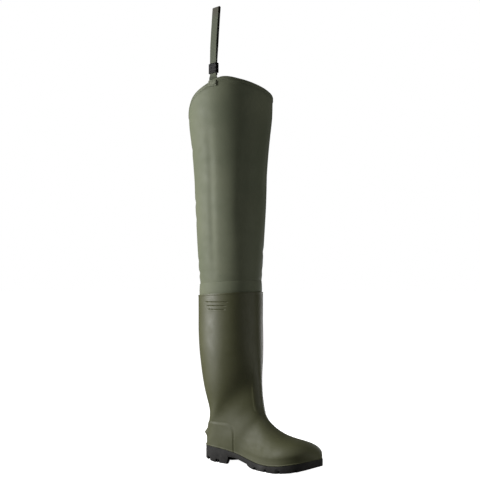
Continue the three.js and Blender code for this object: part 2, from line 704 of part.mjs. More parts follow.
const strapAngle = Math.asin(STRAP_FORWARD / legAtCollar.depth);
const strapBase = legPoint(strapAngle, 1, 0, () => 0);
const wallTurn = Math.atan2(
  legAtCollar.breadth * Math.sin(strapAngle),
  legAtCollar.depth * Math.cos(strapAngle),
);
const WEBBING_STEP = WEBBING_THICKNESS + 2 * GAP;
const DIVIDER = 1; // the slide's inner bar, between the two layers
const LAYERS = WEBBING_STEP + DIVIDER; // between the middles of the two layers, in the slide
const STRAP_SEAT = 1.4; // from the wall to the middle of the flat webbing, whose edges come closer
const LOOP_MIDDLE = -FABRIC - STRAP_SEAT - WEBBING_THICKNESS / 2; // the loop hangs just inside the wall
const STRAP_LEAN = 10; // sideways, from the slide to the top
const LEAN_CURVE = 1.3;
const STRAP_TUCK = 20; // inside the collar
const STRAP_TWIST = 4; // over the collar, where the webbing starts to turn from the wall
const SLIDE_CLEAR = 2; // the webbing stays straight this far past the slide
const FREE_END = 5; // of the webbing, below the slide

// The strap's own directions, turned from the wall's (0) to the loop's (1).
function strapFrame(turn) {
  const angle = wallTurn + (STRAP_TURN - wallTurn) * turn;
  return {
    across: new THREE.Vector3(Math.cos(angle), Math.sin(angle), 0),
    out: new THREE.Vector3(Math.sin(angle), -Math.cos(angle), 0),
  };
}

function strapPlace(turn, lean, forward, height, tilt = 0) {
  const { across, out } = strapFrame(turn);
  const middle = strapBase.clone().addScaledVector(across, lean).addScaledVector(out, forward);
  middle.z = height;
  return { middle, across, out: out.clone().applyAxisAngle(across, -tilt) };
}

function strap() {
  const collar = collarHeight(strapAngle);
  const slideTop = BUCKLE_BASE + BUCKLE_HEIGHT;
  const front = LOOP_MIDDLE + LAYERS / 2;
  const back = LOOP_MIDDLE - LAYERS / 2;
  const swell = (STRAP_GAP + WEBBING_THICKNESS) / 2;
  const bend = STRAP_TOP - swell - WEBBING_THICKNESS / 2;
  const lean = (z) => STRAP_LEAN * Math.max(0, (z - slideTop) / (STRAP_TOP - slideTop)) ** LEAN_CURVE;
  const straight = slideTop + SLIDE_CLEAR;
  const places = [
    strapPlace(0, 0, LOOP_MIDDLE, collar - STRAP_TUCK),
    strapPlace(0, 0, LOOP_MIDDLE, collar + STRAP_TWIST),
    strapPlace(1, 0, front, BUCKLE_BASE - SLIDE_CLEAR),
    strapPlace(1, 0, front, straight),
  ];
  const runs = 6;
  const runAt = (i) => ({ z: straight + (bend - straight) * i / runs, open: Math.min(1, i / 2) });
  for (let i = 1; i <= runs; i++) {
    const { z, open } = runAt(i);
    places.push(strapPlace(1, lean(z), front + (swell - LAYERS / 2) * open, z));
  }
  const turns = 8;
  for (let i = 1; i < turns; i++) {
    const turn = i / turns * Math.PI;
    const z = bend + swell * Math.sin(turn);
    places.push(strapPlace(1, lean(z), LOOP_MIDDLE + swell * Math.cos(turn), z, turn));
  }
  for (let i = runs; i >= 1; i--) {
    const { z, open } = runAt(i);
    places.push(strapPlace(1, lean(z), back - (swell - LAYERS / 2) * open, z, Math.PI));
  }
  places.push(strapPlace(1, 0, back, straight, Math.PI));
  places.push(strapPlace(1, 0, back, BUCKLE_BASE - FREE_END, Math.PI));
  return ribbon(places, WEBBING_WIDTH, WEBBING_THICKNESS);
}

// The slide: a flat black sleeve with two slots, and ribs across its face.
const SLIDE_RIBS = [0.07, 0.42, 0.8]; // lower edges, as shares of its height
const RIB_HEIGHT = 3;
const RIB_PROUD = 0.8;
const SLIDE_EDGE = 1.5; // from the ends of the ribs to the slide's edges
function strapBuckle() {
  const { across, out } = strapFrame(1);
  const centre = strapBase.clone().addScaledVector(out, LOOP_MIDDLE);
  const place = ([u, v]) => [centre.x + across.x * u + out.x * v, centre.y + across.y * u + out.y * v];
  const slotHalf = WEBBING_WIDTH / 2 + GAP;
  const half = slotHalf + BUCKLE_WALL;
  const depth = (LAYERS + WEBBING_STEP) / 2 + BUCKLE_FACE;
  const chamfer = BUCKLE_WALL / 2;
  const [near, far] = [half - chamfer, depth - chamfer];
  const frame = [[-near, -depth], [near, -depth], [half, -far], [half, far],
    [near, depth], [-near, depth], [-half, far], [-half, -far]];
  const holes = [LAYERS / 2, -LAYERS / 2].map((v) => {
    const [low, high] = [v - WEBBING_STEP / 2, v + WEBBING_STEP / 2];
    return [[-slotHalf, low], [slotHalf, low], [slotHalf, high], [-slotHalf, high]].map(place);
  });
  const body = upright(frame.map(place), BUCKLE_BASE, BUCKLE_BASE + BUCKLE_HEIGHT, holes);
  const end = half - SLIDE_EDGE;
  const [root, tip] = [depth - BUCKLE_FACE / 2, depth + RIB_PROUD];
  const rib = [[-end, root], [end, root], [end, tip], [-end, tip]].map(place);
  const ribs = SLIDE_RIBS.map((share) => {
    const low = BUCKLE_BASE + share * BUCKLE_HEIGHT;
    return upright(rib, low, low + RIB_HEIGHT);
  });
  return joinAll([body, ...ribs]);
}

// The patch sewn over the hem where the strap is held.
function strapTab() {
  const half = TAB_WIDTH / 2 / legAtCollar.depth;
  const reach = HEM_STEP + GAP + TAB_THICKNESS / 2;
  const steps = 6;
  const places = Array.from({ length: steps + 1 }, (_, i) => {
    const angle = strapAngle + half * (2 * i / steps - 1);
    const middle = legPoint(angle, 1, reach, () => collarHeight(strapAngle) - TAB_HEIGHT / 2 - TAB_DROP);
    const out = new THREE.Vector3(Math.sin(angle), -Math.cos(angle), 0);
    return { middle, across: new THREE.Vector3(0, 0, 1), out };
  });
  return ribbon(places, TAB_HEIGHT, TAB_THICKNESS);
}

// The object

const OLIVE_PVC = new THREE.MeshStandardMaterial({ color: '#4c5035', roughness: 0.42, metalness: 0 });
const TREAD_RUBBER = new THREE.MeshStandardMaterial({ color: '#2c2b2a', roughness: 0.6, metalness: 0 });
const SOCK_LINING = new THREE.MeshStandardMaterial({ color: '#8a8672', roughness: 0.95, metalness: 0 });
const COATED_FABRIC = new THREE.MeshStandardMaterial({ color: '#7d8772', roughness: 0.55, metalness: 0 });
const WEBBING = new THREE.MeshStandardMaterial({ color: '#5f6549', roughness: 0.85, metalness: 0 });
const BLACK_PLASTIC = new THREE.MeshStandardMaterial({ color: '#1b1c18', roughness: 0.4, metalness: 0 });

const wader = new THREE.Group();

function addPiece(name, solid, material) {
  const { vertProperties, triVerts } = solid.getMesh();
  const geometry = new THREE.BufferGeometry();
  geometry.setAttribute('position', new THREE.Float32BufferAttribute(vertProperties, 3));
  geometry.setIndex(Array.from(triVerts));
  geometry.computeVertexNormals();
  const mesh = new THREE.Mesh(geometry, material);
  mesh.name = name;
  wader.add(mesh);
}

addPiece('outsole', outsole(), TREAD_RUBBER);
addPiece('boot', boot(), OLIVE_PVC);
addPiece('insole', insole(), SOCK_LINING);
addPiece('shaft_band', shaftBand(), COATED_FABRIC);
addPiece('thigh', thigh(), COATED_FABRIC);
addPiece('strap_tab', strapTab(), COATED_FABRIC);
addPiece('strap', strap(), WEBBING);
addPiece('strap_buckle', strapBuckle(), BLACK_PLASTIC);

// The origin goes to the middle of the whole object's box, at the floor.
const box = new THREE.Box3().setFromObject(wader);
const centre = box.getCenter(new THREE.Vector3());
wader.position.set(-centre.x, -centre.y, -box.min.z);

export default wader;
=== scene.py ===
"""Looks of a hip wader for the right leg: a moulded boot on a cleated sole, with a coated
fabric leg, a slanted collar and a webbing hanging loop with a slide.

Shapes are worked out in millimetres on the shaft's axis, with +X to the toe, +Y to the inner
side of the leg and the floor at 0, and are moved to the frame's metres when a mesh is made."""
import math
from functools import partial

import bmesh
import bpy
import numpy as np
from mathutils import Matrix, Vector, noise


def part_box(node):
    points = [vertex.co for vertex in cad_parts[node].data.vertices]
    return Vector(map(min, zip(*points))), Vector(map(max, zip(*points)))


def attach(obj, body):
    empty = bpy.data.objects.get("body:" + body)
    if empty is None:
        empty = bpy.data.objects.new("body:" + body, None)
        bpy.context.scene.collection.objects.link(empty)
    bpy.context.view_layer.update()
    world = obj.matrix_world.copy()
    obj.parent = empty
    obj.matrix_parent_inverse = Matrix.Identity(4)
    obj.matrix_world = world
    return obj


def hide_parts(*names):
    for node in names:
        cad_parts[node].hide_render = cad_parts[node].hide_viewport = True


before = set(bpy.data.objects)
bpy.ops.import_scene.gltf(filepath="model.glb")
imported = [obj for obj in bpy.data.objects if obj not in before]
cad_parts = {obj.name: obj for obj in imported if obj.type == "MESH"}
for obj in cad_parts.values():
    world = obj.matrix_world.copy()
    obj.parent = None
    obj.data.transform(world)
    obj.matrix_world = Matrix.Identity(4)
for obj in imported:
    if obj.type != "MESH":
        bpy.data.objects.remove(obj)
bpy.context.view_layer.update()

bl_info = {
    "name": "Hip Wader",
    "version": (1, 0, 0),
    "blender": (4, 5, 0),
    "location": "3D View > Sidebar > Wader",
    "description": "Builds a hip wader with its materials around the packed solids",
    "category": "Add Mesh",
}

MM = 0.001
BAND_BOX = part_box("shaft_band")
SHAFT_AXIS = Vector(((BAND_BOX[0][0] + BAND_BOX[1][0]) / 2, (BAND_BOX[0][1] + BAND_BOX[1][1]) / 2, 0))


def rows(names, *values):
    """A table: a dictionary for each row, with the columns' names."""
    return [dict(zip(names.split(), row)) for row in values]


# The sole's plan: station as a share of its length, side as a share of half the ball's width.
PLAN = rows(
    "at side",
    (0.0, 0.0), (0.031, -0.43), (0.105, -0.665), (0.224, -0.7), (0.36, -0.675), (0.496, -0.795),
    (0.615, -0.935), (0.717, -0.985), (0.818, -0.935), (0.903, -0.74), (0.968, -0.39), (1.0, 0.13),
    (0.978, 0.57), (0.92, 0.83), (0.835, 0.965), (0.733, 1.01), (0.632, 0.935), (0.513, 0.75),
    (0.394, 0.62), (0.275, 0.64), (0.173, 0.685), (0.088, 0.625), (0.027, 0.38),
)

# Top of the sole: station, and height as a share of the heel seat's height.
SEAT = rows(
    "at high",
    (0.0, 1.0), (0.1, 0.995), (0.19, 0.96), (0.28, 0.89), (0.363, 0.76), (0.483, 0.55), (0.58, 0.42),
    (0.66, 0.385), (0.74, 0.415), (0.81, 0.49), (0.9, 0.65), (0.96, 0.79), (1.0, 0.895),
)

# Sections of the foot from the toe back. seat and crest: stations of the plane's lower and upper
# end; high: share of the instep's height; wide: share of the sole's half width; level: share of
# the way up at which it is widest; round: power of the curve over the top; steps: rings on the
# way to the next section.
FOOT_SECTIONS = rows(
    "seat crest high wide level round steps",
    (0.999, 0.999, 0.195, 1.0, 0.45, 2.0, 3),
    (0.992, 0.994, 0.23, 1.0, 0.45, 2.1, 5),
    (0.972, 0.978, 0.28, 1.0, 0.44, 2.2, 6),
    (0.938, 0.95, 0.327, 1.0, 0.42, 2.25, 7),
    (0.884, 0.902, 0.362, 1.0, 0.4, 2.3, 9),
    (0.809, 0.834, 0.383, 1.0, 0.37, 2.3, 10),
    (0.72, 0.753, 0.405, 0.99, 0.33, 2.15, 10),
    (0.625, 0.677, 0.447, 0.98, 0.29, 2.0, 10),
    (0.53, 0.613, 0.518, 0.98, 0.27, 1.9, 10),
    (0.431, 0.568, 0.592, 1.0, 0.27, 1.9, 18),
    (0.33, 0.541, 0.658, 1.03, 0.28, 1.9, 18),
    (0.23, 0.524, 0.722, 1.02, 0.3, 1.95, 16),
    (0.135, 0.515, 0.786, 1.02, 0.32, 2.0, 8),
    (0.06, 0.51, 0.85, 1.02, 0.34, 2.0, 6),
    (0.018, 0.505, 0.925, 1.03, 0.36, 2.0, 6),
)
HEEL_STATION = 0.2

# Sections of the leg of the boot, from the heel to the rim. back: 0 over the heel, 1 over the
# shaft's back; rise and climb: height of the back and front points; front and wide: shares of
# half the shaft's depth and breadth; steps: rings on the way to the next section.
LEG_SECTIONS = rows(
    "back rise front climb wide level steps",
    (0.0, 0.0, 1.1, 0.0, 0.605, 0.37, 8),
    (0.0, 0.036, 1.092, 0.058, 0.62, 0.39, 14),
    (-0.09, 0.082, 1.083, 0.117, 0.66, 0.4, 14),
    (-0.45, 0.136, 1.07, 0.18, 0.718, 0.42, 14),
    (-0.66, 0.196, 1.058, 0.243, 0.782, 0.44, 14),
    (-0.36, 0.268, 1.045, 0.311, 0.855, 0.46, 12),
    (0.147, 0.353, 1.032, 0.389, 0.911, 0.48, 12),
    (0.5, 0.458, 1.019, 0.457, 0.952, 0.5, 12),
    (0.741, 0.564, 1.013, 0.535, 0.984, 0.5, 12),
    (0.9, 0.67, 1.006, 0.618, 0.995, 0.5, 11),
    (1.0, 0.775, 1.0, 0.7, 1.0, 0.5, 20),
    (1.0, 0.872, 1.0, 0.803, 1.0, 0.5, 64),
    (1.0, 1.0, 1.0, 1.0, 1.0, 0.5, 1),
)

# The fabric leg: share of the height from the rim to the mean collar, and of the way from its
# size in the boot to its size at the collar.
THIGH_SECTIONS = rows(
    "up spread",
    (-0.05, 0.0), (0.07, 0.0), (0.128, 0.05), (0.281, 0.21), (0.436, 0.35), (0.592, 0.43),
    (0.696, 0.59), (0.798, 0.775), (0.9, 0.945), (1.0, 1.0),
)

# Rise of the collar over its mean as a share of its slant, at equal steps around the leg from
# the outer side by way of the front.
COLLAR = [0.55, 0.94, 0.76, 0.48, 0.22, 0.05, -0.1, -0.27, -0.53, -0.82, -1.0, -0.96, -0.72, 0.05]

# Creases of the fabric leg as soft troughs with ridges beside them. angle: degrees round the
# leg from the outer side by way of the front; high: millimetres over the floor; both at the
# crease's two ends; wide: half its width; deep: depth, below 0 for a ridge.
CREASES = rows(
    "angle_a high_a angle_b high_b wide deep",
    (4, 760, 2, 405, 12, 1.4),
    (-22, 735, -20, 470, 14, -0.8),
    (-50, 760, -44, 600, 12, 0.9),
    (60, 715, 52, 500, 16, 1.0),
    (112, 735, 104, 560, 13, 1.2),
    (158, 700, 150, 480, 13, 1.3),
    (205, 710, 200, 520, 15, 1.1),
    (-96, 678, -44, 694, 9, 1.2),
    (-104, 566, -40, 574, 8, 1.7),
    (-70, 540, -30, 528, 10, 0.9),
    (-112, 418, -36, 414, 7, 2.0),
    (-66, 440, -20, 446, 8, 0.9),
    (96, 470, 140, 456, 9, 1.1),
    (118, 420, 166, 428, 8, 1.4),
    (184, 452, 230, 436, 9, 1.6),
    (70, 600, 100, 586, 12, 0.8),
    (196, 612, 244, 596, 11, 1.2),
)


class WaderSizes(bpy.types.PropertyGroup):
    """Sizes of the wader, as its solids have them."""

    def length(label, text, default):
        return bpy.props.FloatProperty(
            name=label, description=text, default=default, min=0.0, unit="LENGTH")

    sole_length: length("Sole length", "Length of the sole from heel to toe", 0.2945)
    heel_behind: length("Heel behind shaft", "From the shaft's axis back to the heel", 0.061)
    ball_width: length("Ball width", "Width of the sole at the ball", 0.107)
    heel_seat: length("Heel seat", "Height of the sole's top at the heel", 0.033)
    boot_wall: length("Boot wall", "Thickness of the boot's wall", 0.0025)
    instep_height: length("Instep height", "Where the foot's top line becomes the shaft", 0.168)
    rim_height: length("Rim height", "Mean height of the boot's rim", 0.369)
    rim_slant: length("Rim slant", "How much the rim's front stands over its back", 0.009)
    shaft_depth: length("Shaft depth", "Shaft from front to back", 0.156)
    shaft_breadth: length("Shaft breadth", "Shaft from side to side", 0.124)
    sole_ledge: length("Sole ledge", "How far the sole stands outside the boot", 0.001)
    panel_step: length("Panel step", "Height of the counter and instep strip over the wall", 0.0009)
    groove_depth: length("Groove depth", "Depth of the three grooves under the rim", 0.0014)
    spur_reach: length("Spur reach", "How far the heel's ledge stands out", 0.005)
    fabric: length("Fabric", "Thickness of the coated fabric", 0.0012)
    collar_height: length("Collar height", "Mean height of the collar", 0.8)
    collar_slant: length("Collar slant", "Rise and fall of the collar from its mean", 0.038)
    thigh_depth: length("Thigh depth", "Fabric leg at the collar, front to back", 0.197)
    thigh_breadth: length("Thigh breadth", "Fabric leg at the collar, side to side", 0.173)
    hem_width: length("Hem width", "Width of the collar's hem", 0.009)
    webbing_width: length("Webbing width", "Width of the hanging loop's webbing", 0.02)
    webbing: length("Webbing", "Thickness of the webbing", 0.0014)
    strap_top: length("Strap top", "Height of the hanging loop's top", 0.986)
    stitch: length("Stitch length", "Length of one stitch", 0.0032)
    thread: length("Thread", "Thickness of the sewing thread", 0.0007)


def mm(name):
    """A size of the wader in millimetres."""
    return getattr(bpy.context.scene.wader_sizes, name) / MM


# Numbers along smooth curves

def between(start, end, slope_start, slope_end, t):
    """A value on the smooth curve from start to end, with the slopes it has there."""
    t2 = t * t
    t3 = t2 * t
    return ((2 * t3 - 3 * t2 + 1) * start + (t3 - 2 * t2 + t) * slope_start
            + (3 * t2 - 2 * t3) * end + (t3 - t2) * slope_end)


def hermite(before, start, end, after, t):
    """A value on the smooth curve from start to end, with slopes from the neighbours."""
    return between(start, end, (end - before) / 2, (after - start) / 2, t)


def denser(table, share=1.0):
    """The rows with more between them on a smooth curve: each row's steps, times a share."""
    result = []
    for i in range(len(table) - 1):
        near = [table[max(i - 1, 0)], table[i], table[i + 1], table[min(i + 2, len(table) - 1)]]
        count = max(round(table[i].get("steps", 4) * share), 1)
        for s in range(count):
            result.append({key: hermite(*(row[key] for row in near), s / count) for key in table[i]})
    return result + [table[-1]]


def value_at(table, at, key):
    """Straight interpolation in a table whose column at rises."""
    i = 1
    while i < len(table) - 1 and table[i]["at"] <= at:
        i += 1
    start, end = table[i - 1], table[i]
    return start[key] + (end[key] - start[key]) * (at - start["at"]) / (end["at"] - start["at"])


def ease(low, high, value):
    """0 below low, 1 above high, and smooth between them."""
    t = min(max((value - low) / (high - low), 0.0), 1.0)
    return t * t * (3 - 2 * t)


def bead(value, rise, middle, half_width):
    """A low rounded rise at a place, or a groove where the rise is below 0."""
    return rise * math.exp(-((value - middle) / half_width) ** 2)


def turns(count):
    """The equal steps of a full turn, in radians."""
    return [i / count * 2 * math.pi for i in range(count)]


def outwards(angle):
    """The level direction out of the leg's outer side, turned by an angle towards the toe."""
    return Vector((math.sin(angle), -math.cos(angle), 0))


SEAT_LINE = denser(SEAT)


def station_x(share):
    return share * mm("sole_length") - mm("heel_behind")


def seat_height(x):
    """Height of the sole's top at a place along the foot."""
    share = (x + mm("heel_behind")) / mm("sole_length")
    return mm("heel_seat") * value_at(SEAT_LINE, min(max(share, 0.0), 1.0), "high")


def rim_height(x):
    return mm("rim_height") + mm("rim_slant") * x / mm("shaft_depth")


def sole_outline(per_row):
    """The sole's closed outline in plan, as a smooth curve through the table."""
    places = [Vector((station_x(row["at"]), row["side"] * mm("ball_width") / 2)) for row in PLAN]
    count = len(places)
    points = []
    for i in range(count):
        p0, p1, p2, p3 = (places[(i + step) % count] for step in (-1, 0, 1, 2))
        d0, d1, d2 = ((b - a).length ** 0.5 for a, b in ((p0, p1), (p1, p2), (p2, p3)))
        slope_1 = ((p1 - p0) / d0 - (p2 - p0) / (d0 + d1) + (p2 - p1) / d1) * d1
        slope_2 = ((p2 - p1) / d1 - (p3 - p1) / (d1 + d2) + (p3 - p2) / d2) * d1
        points += [between(p1, p2, slope_1, slope_2, s / per_row) for s in range(per_row)]
    return points


def sole_width(share, edge):
    """Middle and half of the sole's width at a station."""
    x = station_x(min(max(share, 0.0005), 0.9995))
    crossings = []
    for start, end in zip(edge, edge[1:] + edge[:1]):
        if (start.x - x) * (end.x - x) <= 0 and start.x != end.x:
            crossings.append(start.y + (end.y - start.y) * (x - start.x) / (end.x - start.x))
    return (min(crossings) + max(crossings)) / 2, (max(crossings) - min(crossings)) / 2


# Meshes

def shade(mesh, sharp):
    """Shades a mesh smooth, but for edges sharper than an angle in degrees."""
    mesh.shade_smooth()
    mesh.set_sharp_from_angle(angle=math.radians(sharp))


def new_piece(name, mesh_maker, materials, node_names=(), sharp=50):
    """Makes an object from a bmesh in millimetres on the shaft's axis, and hides the CAD parts it stands in
    for.
    """
    bmesh.ops.recalc_face_normals(mesh_maker, faces=mesh_maker.faces)
    mesh = bpy.data.meshes.new(name)
    mesh_maker.to_mesh(mesh)
    mesh_maker.free()
    for vertex in mesh.vertices:
        vertex.co = vertex.co * MM + SHAFT_AXIS
    shade(mesh, sharp)
    for material in materials:
        mesh.materials.append(material)
    piece = bpy.data.objects.new(name, mesh)
    bpy.context.scene.collection.objects.link(piece)
    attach(piece, "root")
    if node_names:
        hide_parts(*node_names)
    return piece


def add_grid(maker, rings, closed):
    """Adds rings of points with faces between them; closed says whether each ring meets itself."""
    grid = [[maker.verts.new(point) for point in ring] for ring in rings]
    for near, far in zip(grid, grid[1:]):
        count = len(near)
        for i in range(count if closed else count - 1):
            j = (i + 1) % count
            maker.faces.new((near[i], near[j], far[j], far[i]))
    return grid


def bridge(maker, ring_a, ring_b):
    """Joins two closed rings of the same count."""
    count = len(ring_a)
    for i in range(count):
        j = (i + 1) % count
        maker.faces.new((ring_a[i], ring_a[j], ring_b[j], ring_b[i]))


def add_tube(maker, rings):
    """Adds closed rings of points whose last ring meets the first one."""
    grid = add_grid(maker, rings, True)
    bridge(maker, grid[-1], grid[0])
    return grid


# Boot

# Points on each section below and above its widest place, and on each stretch of the sole's edge.
LOWER_STEPS = 42
UPPER_STEPS = 54
PLAN_STEPS = 12

# How far the wall rolls in over the sole's edge, how far its sections start under the sole's top,
# and how far its lower edge stands over the sole.
ROLL = 1.5
DROP = 4.0
SEAT_GAP = 0.3


def boot_sections(inset, share):
    """The boot's sections from the toe to the rim, with the surface moved in by inset."""
    edge = sole_outline(PLAN_STEPS)
    ledge = mm("sole_ledge")
    length, behind = mm("sole_length"), mm("heel_behind")
    half_depth, half_breadth = mm("shaft_depth") / 2, mm("shaft_breadth") / 2

    def foot_section(row):
        middle, half = sole_width(row["seat"], edge)
        broad = sole_width(max(row["seat"], HEEL_STATION), edge)[1] * row["wide"]
        seat_x = station_x(row["seat"])
        pull = inset + ledge
        return {
            "seat_x": seat_x * (1 - 2 * pull / length) + pull * (1 - 2 * behind / length),
            "seat_z": seat_height(seat_x) - DROP,
            "crest_x": station_x(row["crest"]),
            "crest_z": mm("instep_height") * row["high"],
            "middle": middle,
            "foot": max(half - ledge - ROLL - inset, 1.0),
            "wide": max(broad - ledge - inset, 1.5),
            "level": row["level"],
            "round": row["round"],
            "steps": row["steps"],
        }

    heel = mm("heel_seat")
    heel_back = -behind + ledge
    back_rim, front_rim = rim_height(-half_depth), rim_height(half_depth)
    leg = [{
        "seat_x": heel_back - row["back"] * (half_depth + heel_back),
        "seat_z": heel + row["rise"] * (back_rim - heel) - (DROP if i == 0 else 0),
        "crest_x": row["front"] * half_depth,
        "crest_z": mm("instep_height") + row["climb"] * (front_rim - mm("instep_height")),
        "middle": 0.0,
        "foot": 0.2,
        "wide": row["wide"] * half_breadth - inset,
        "level": row["level"],
        "round": 2.0,
        "steps": row["steps"],
    } for i, row in enumerate(LEG_SECTIONS)]
    foot = [foot_section(row) for row in denser(FOOT_SECTIONS, share)]
    before = dict(foot_section(FOOT_SECTIONS[-2]), steps=1)
    leg = denser([before, foot[-1]] + leg, share)[1:]
    sections = foot[:-1] + leg
    return [moved_in(sections, i, inset, i < len(foot)) for i in range(len(sections))]


def moved_in(sections, i, inset, on_seat):
    """A section whose two ends are moved in, square to the side view's outline."""
    row = dict(sections[i])
    before, after = sections[max(i - 1, 0)], sections[min(i + 1, len(sections) - 1)]
    towards = Vector((row["crest_x"] - row["seat_x"], row["crest_z"] - row["seat_z"]))
    for end, way in (("seat", 1), ("crest", -1)):
        if end == "seat" and on_seat:
            continue
        along = Vector((after[end + "_x"] - before[end + "_x"], after[end + "_z"] - before[end + "_z"]))
        normal = Vector((-along.y, along.x)).normalized()
        if normal.dot(towards) * way < 0:
            normal = -normal
        row[end + "_x"] += normal.x * inset
        row[end + "_z"] += normal.y * inset
    return row


def section_ring(row):
    """One section as a ring of points from the sole, up one side, over and down the other side.
    Gives the ring and whether it meets itself behind the heel."""
    run_x, run_z = row["crest_x"] - row["seat_x"], row["crest_z"] - row["seat_z"]
    start = 0.0
    for _ in range(4):  # each round comes nearer to the sole's top
        floor = seat_height(row["seat_x"] + run_x * start) + SEAT_GAP
        start = max((floor - row["seat_z"]) / run_z, 0.0)
    first = math.acos(1 - min(start / row["level"], 1.0))
    side = []
    for i in range(LOWER_STEPS):
        turn = first + (math.pi / 2 - first) * i / LOWER_STEPS
        side.append((row["foot"] + (row["wide"] - row["foot"]) * math.sin(turn),
                     row["level"] * (1 - math.cos(turn))))
    for i in range(UPPER_STEPS):
        turn = i / UPPER_STEPS * math.pi / 2
        side.append((row["wide"] * math.cos(turn) ** (2 / row["round"]),
                     row["level"] + (1 - row["level"]) * math.sin(turn) ** (2 / row["round"])))
    whole = side + [(0.0, 1.0)] + [(-out, up) for out, up in reversed(side)]
    ring = [Vector((row["seat_x"] + run_x * up, row["middle"] + out, row["seat_z"] + run_z * up))
            for out, up in whole]
    return ring, start == 0.0


def box_distance(x, z, left, right, low, high, radius):
    """Distance from a rounded box in the side view, below 0 inside it."""
    dx = abs(x - (left + right) / 2) - (right - left) / 2 + radius
    dz = abs(z - (low + high) / 2) - (high - low) / 2 + radius
    return math.hypot(max(dx, 0), max(dz, 0)) + min(max(dx, dz), 0) - radius


# Three short grooves under the rim on the outer side: shares of the rim's height and of half
# the shaft's depth.
RIM_GROOVES = rows(
    "high back front",
    (0.951, -0.3, 0.48), (0.929, -0.25, 0.43), (0.907, -0.17, 0.42),
)

# Each groove and the soft lip under it: from and to in millimetres from its line, and the
# distances over which its edge rounds off.
GROOVE_SPAN, GROOVE_EDGE = (-0.7, 1.5), (-0.9, 0.3)
LIP_SPAN, LIP_EDGE = (-3.2, -1.0), (-1.0, 1.0)
LIP_RISE = 0.1

# Beads and grooves of the boot: rise, middle and half width. The welt and the forefoot go by
# their height over the sole, the others by their distance from the rim and from the panel.
WELT_BEAD = (1.0, 1.5, 0.9)
FOREFOOT_SWELL = (0.4, 20, 7)
FOREFOOT_DIP = (-0.25, 10, 6)
RIM_BEAD = (0.5, 1.6, 1.5)
COUNTER_GROOVE = (-0.4, 1.9, 1.4)

# Where the forefoot's forms set in, as stations, and run out, as heights over the sole.
FOREFOOT_BACK = (0.34, 0.5)
FOREFOOT_TOP = (15, 32)

# The counter's panel: the station of its front edge, its top as a share of the way from the heel
# seat to the rim, the radius of its corner, and the distances over which its edge rounds off. It
# runs on far past the heel.
COUNTER_FRONT = 0.336
COUNTER_TOP = 0.163
COUNTER_RADIUS = 21
COUNTER_EDGE = (-1.6, 1.1)
PAST_HEEL = 60

# The strip on the instep: half its width, its ends and where it fades, as shares of the rim's
# height, its corners' radius, and the distances over which its edge rounds off.
STRIP_HALF = 16.5
STRIP_ENDS = (0.305, 0.62)
STRIP_FADE = (0.42, 0.6)
STRIP_RADIUS = 9
STRIP_EDGE = (-0.7, 0.9)

# The ledge behind the heel: its height, the heights of its lower and upper slope, the turn round
# the heel where it runs out, and the heel's radius as a share of half the ball's width.
SPUR_HIGH = 60
SPUR_SLOPES = (8, 9)
SPUR_TURN = (0.75, 1.15)
HEEL_ROUND = 0.68

# Soft hollows over the instep's sides and above the heel: centre, reach and depth.
HOLLOWS = (
    (Vector((66, -24, 116)), 20, 0.8),
    (Vector((66, 24, 116)), 20, 0.8),
    (Vector((-50, 0, 100)), 18, 0.5),
)

# The unevenness of a moulded wall: how much, and the size of its waves in three directions.
UNEVEN = 0.35
UNEVEN_WAVES = (45, 45, 70)


def boot_relief(p):
    """How far the boot's surface stands out at a point, over its plain form."""
    behind, rim_mean, step = mm("heel_behind"), mm("rim_height"), mm("panel_step")
    height = p.z - seat_height(p.x)
    relief = bead(height, *WELT_BEAD)
    panel_top = mm("heel_seat") + COUNTER_TOP * (rim_mean - mm("heel_seat")) - 2
    counter = box_distance(p.x, p.z, -behind - PAST_HEEL, station_x(COUNTER_FRONT),
                           -PAST_HEEL, panel_top, COUNTER_RADIUS)
    relief += step * (1 - ease(*COUNTER_EDGE, counter))
    relief += bead(counter, *COUNTER_GROOVE)
    if p.x > 0:
        low, high = (share * rim_mean for share in STRIP_ENDS)
        strip = box_distance(p.y, p.z, -STRIP_HALF, STRIP_HALF, low, high, STRIP_RADIUS)
        fade = 1 - ease(*(share * rim_mean for share in STRIP_FADE), p.z)
        relief += step * fade * (1 - ease(*STRIP_EDGE, strip))
    if p.y < 0:
        for row in RIM_GROOVES:
            middle = row["high"] * rim_mean
            ends = [row[end] * mm("shaft_depth") / 2 for end in ("back", "front")]
            for rise, span, edge in ((-mm("groove_depth"), GROOVE_SPAN, GROOVE_EDGE),
                                     (LIP_RISE, LIP_SPAN, LIP_EDGE)):
                low, high = (middle + away for away in span)
                relief += rise * (1 - ease(*edge, box_distance(p.x, p.z, *ends, low, high, 1.0)))
    forefoot = ease(*FOREFOOT_BACK, (p.x + behind) / mm("sole_length"))
    forefoot *= 1 - ease(*FOREFOOT_TOP, height)
    relief += forefoot * (bead(height, *FOREFOOT_SWELL) + bead(height, *FOREFOOT_DIP))
    back = -behind + HEEL_ROUND * mm("ball_width") / 2
    if p.x < back:
        turned = math.atan2(abs(p.y), back - p.x)
        above = p.z - SPUR_HIGH
        ledge = max(0.0, 1 - abs(above) / SPUR_SLOPES[above > 0])
        relief += mm("spur_reach") * ledge * (1 - ease(*SPUR_TURN, turned))
    relief += bead(rim_height(p.x) - p.z, *RIM_BEAD)
    for centre, reach, deep in HOLLOWS:
        relief -= bead((p - centre).length, deep, 0, reach)
    waves = Vector([along / size for along, size in zip(p, UNEVEN_WAVES)])
    return relief + UNEVEN * noise.noise(waves)


# The inner face's share of the outer face's rings, and the rounds that even out the outer face.
INNER_SHARE = 0.2
EVENING_ROUNDS = 60

# The evening of the rings: how far a point goes to its neighbours' middle in a round, away from
# the ankle and at it, the heights between which the ankle's share rises and falls, and the rings
# at each end that keep their places.
EVEN_PLAIN, EVEN_ANKLE = 0.15, 0.5
ANKLE_LOW, ANKLE_HIGH = (40, 70), (250, 170)
KEPT = 4


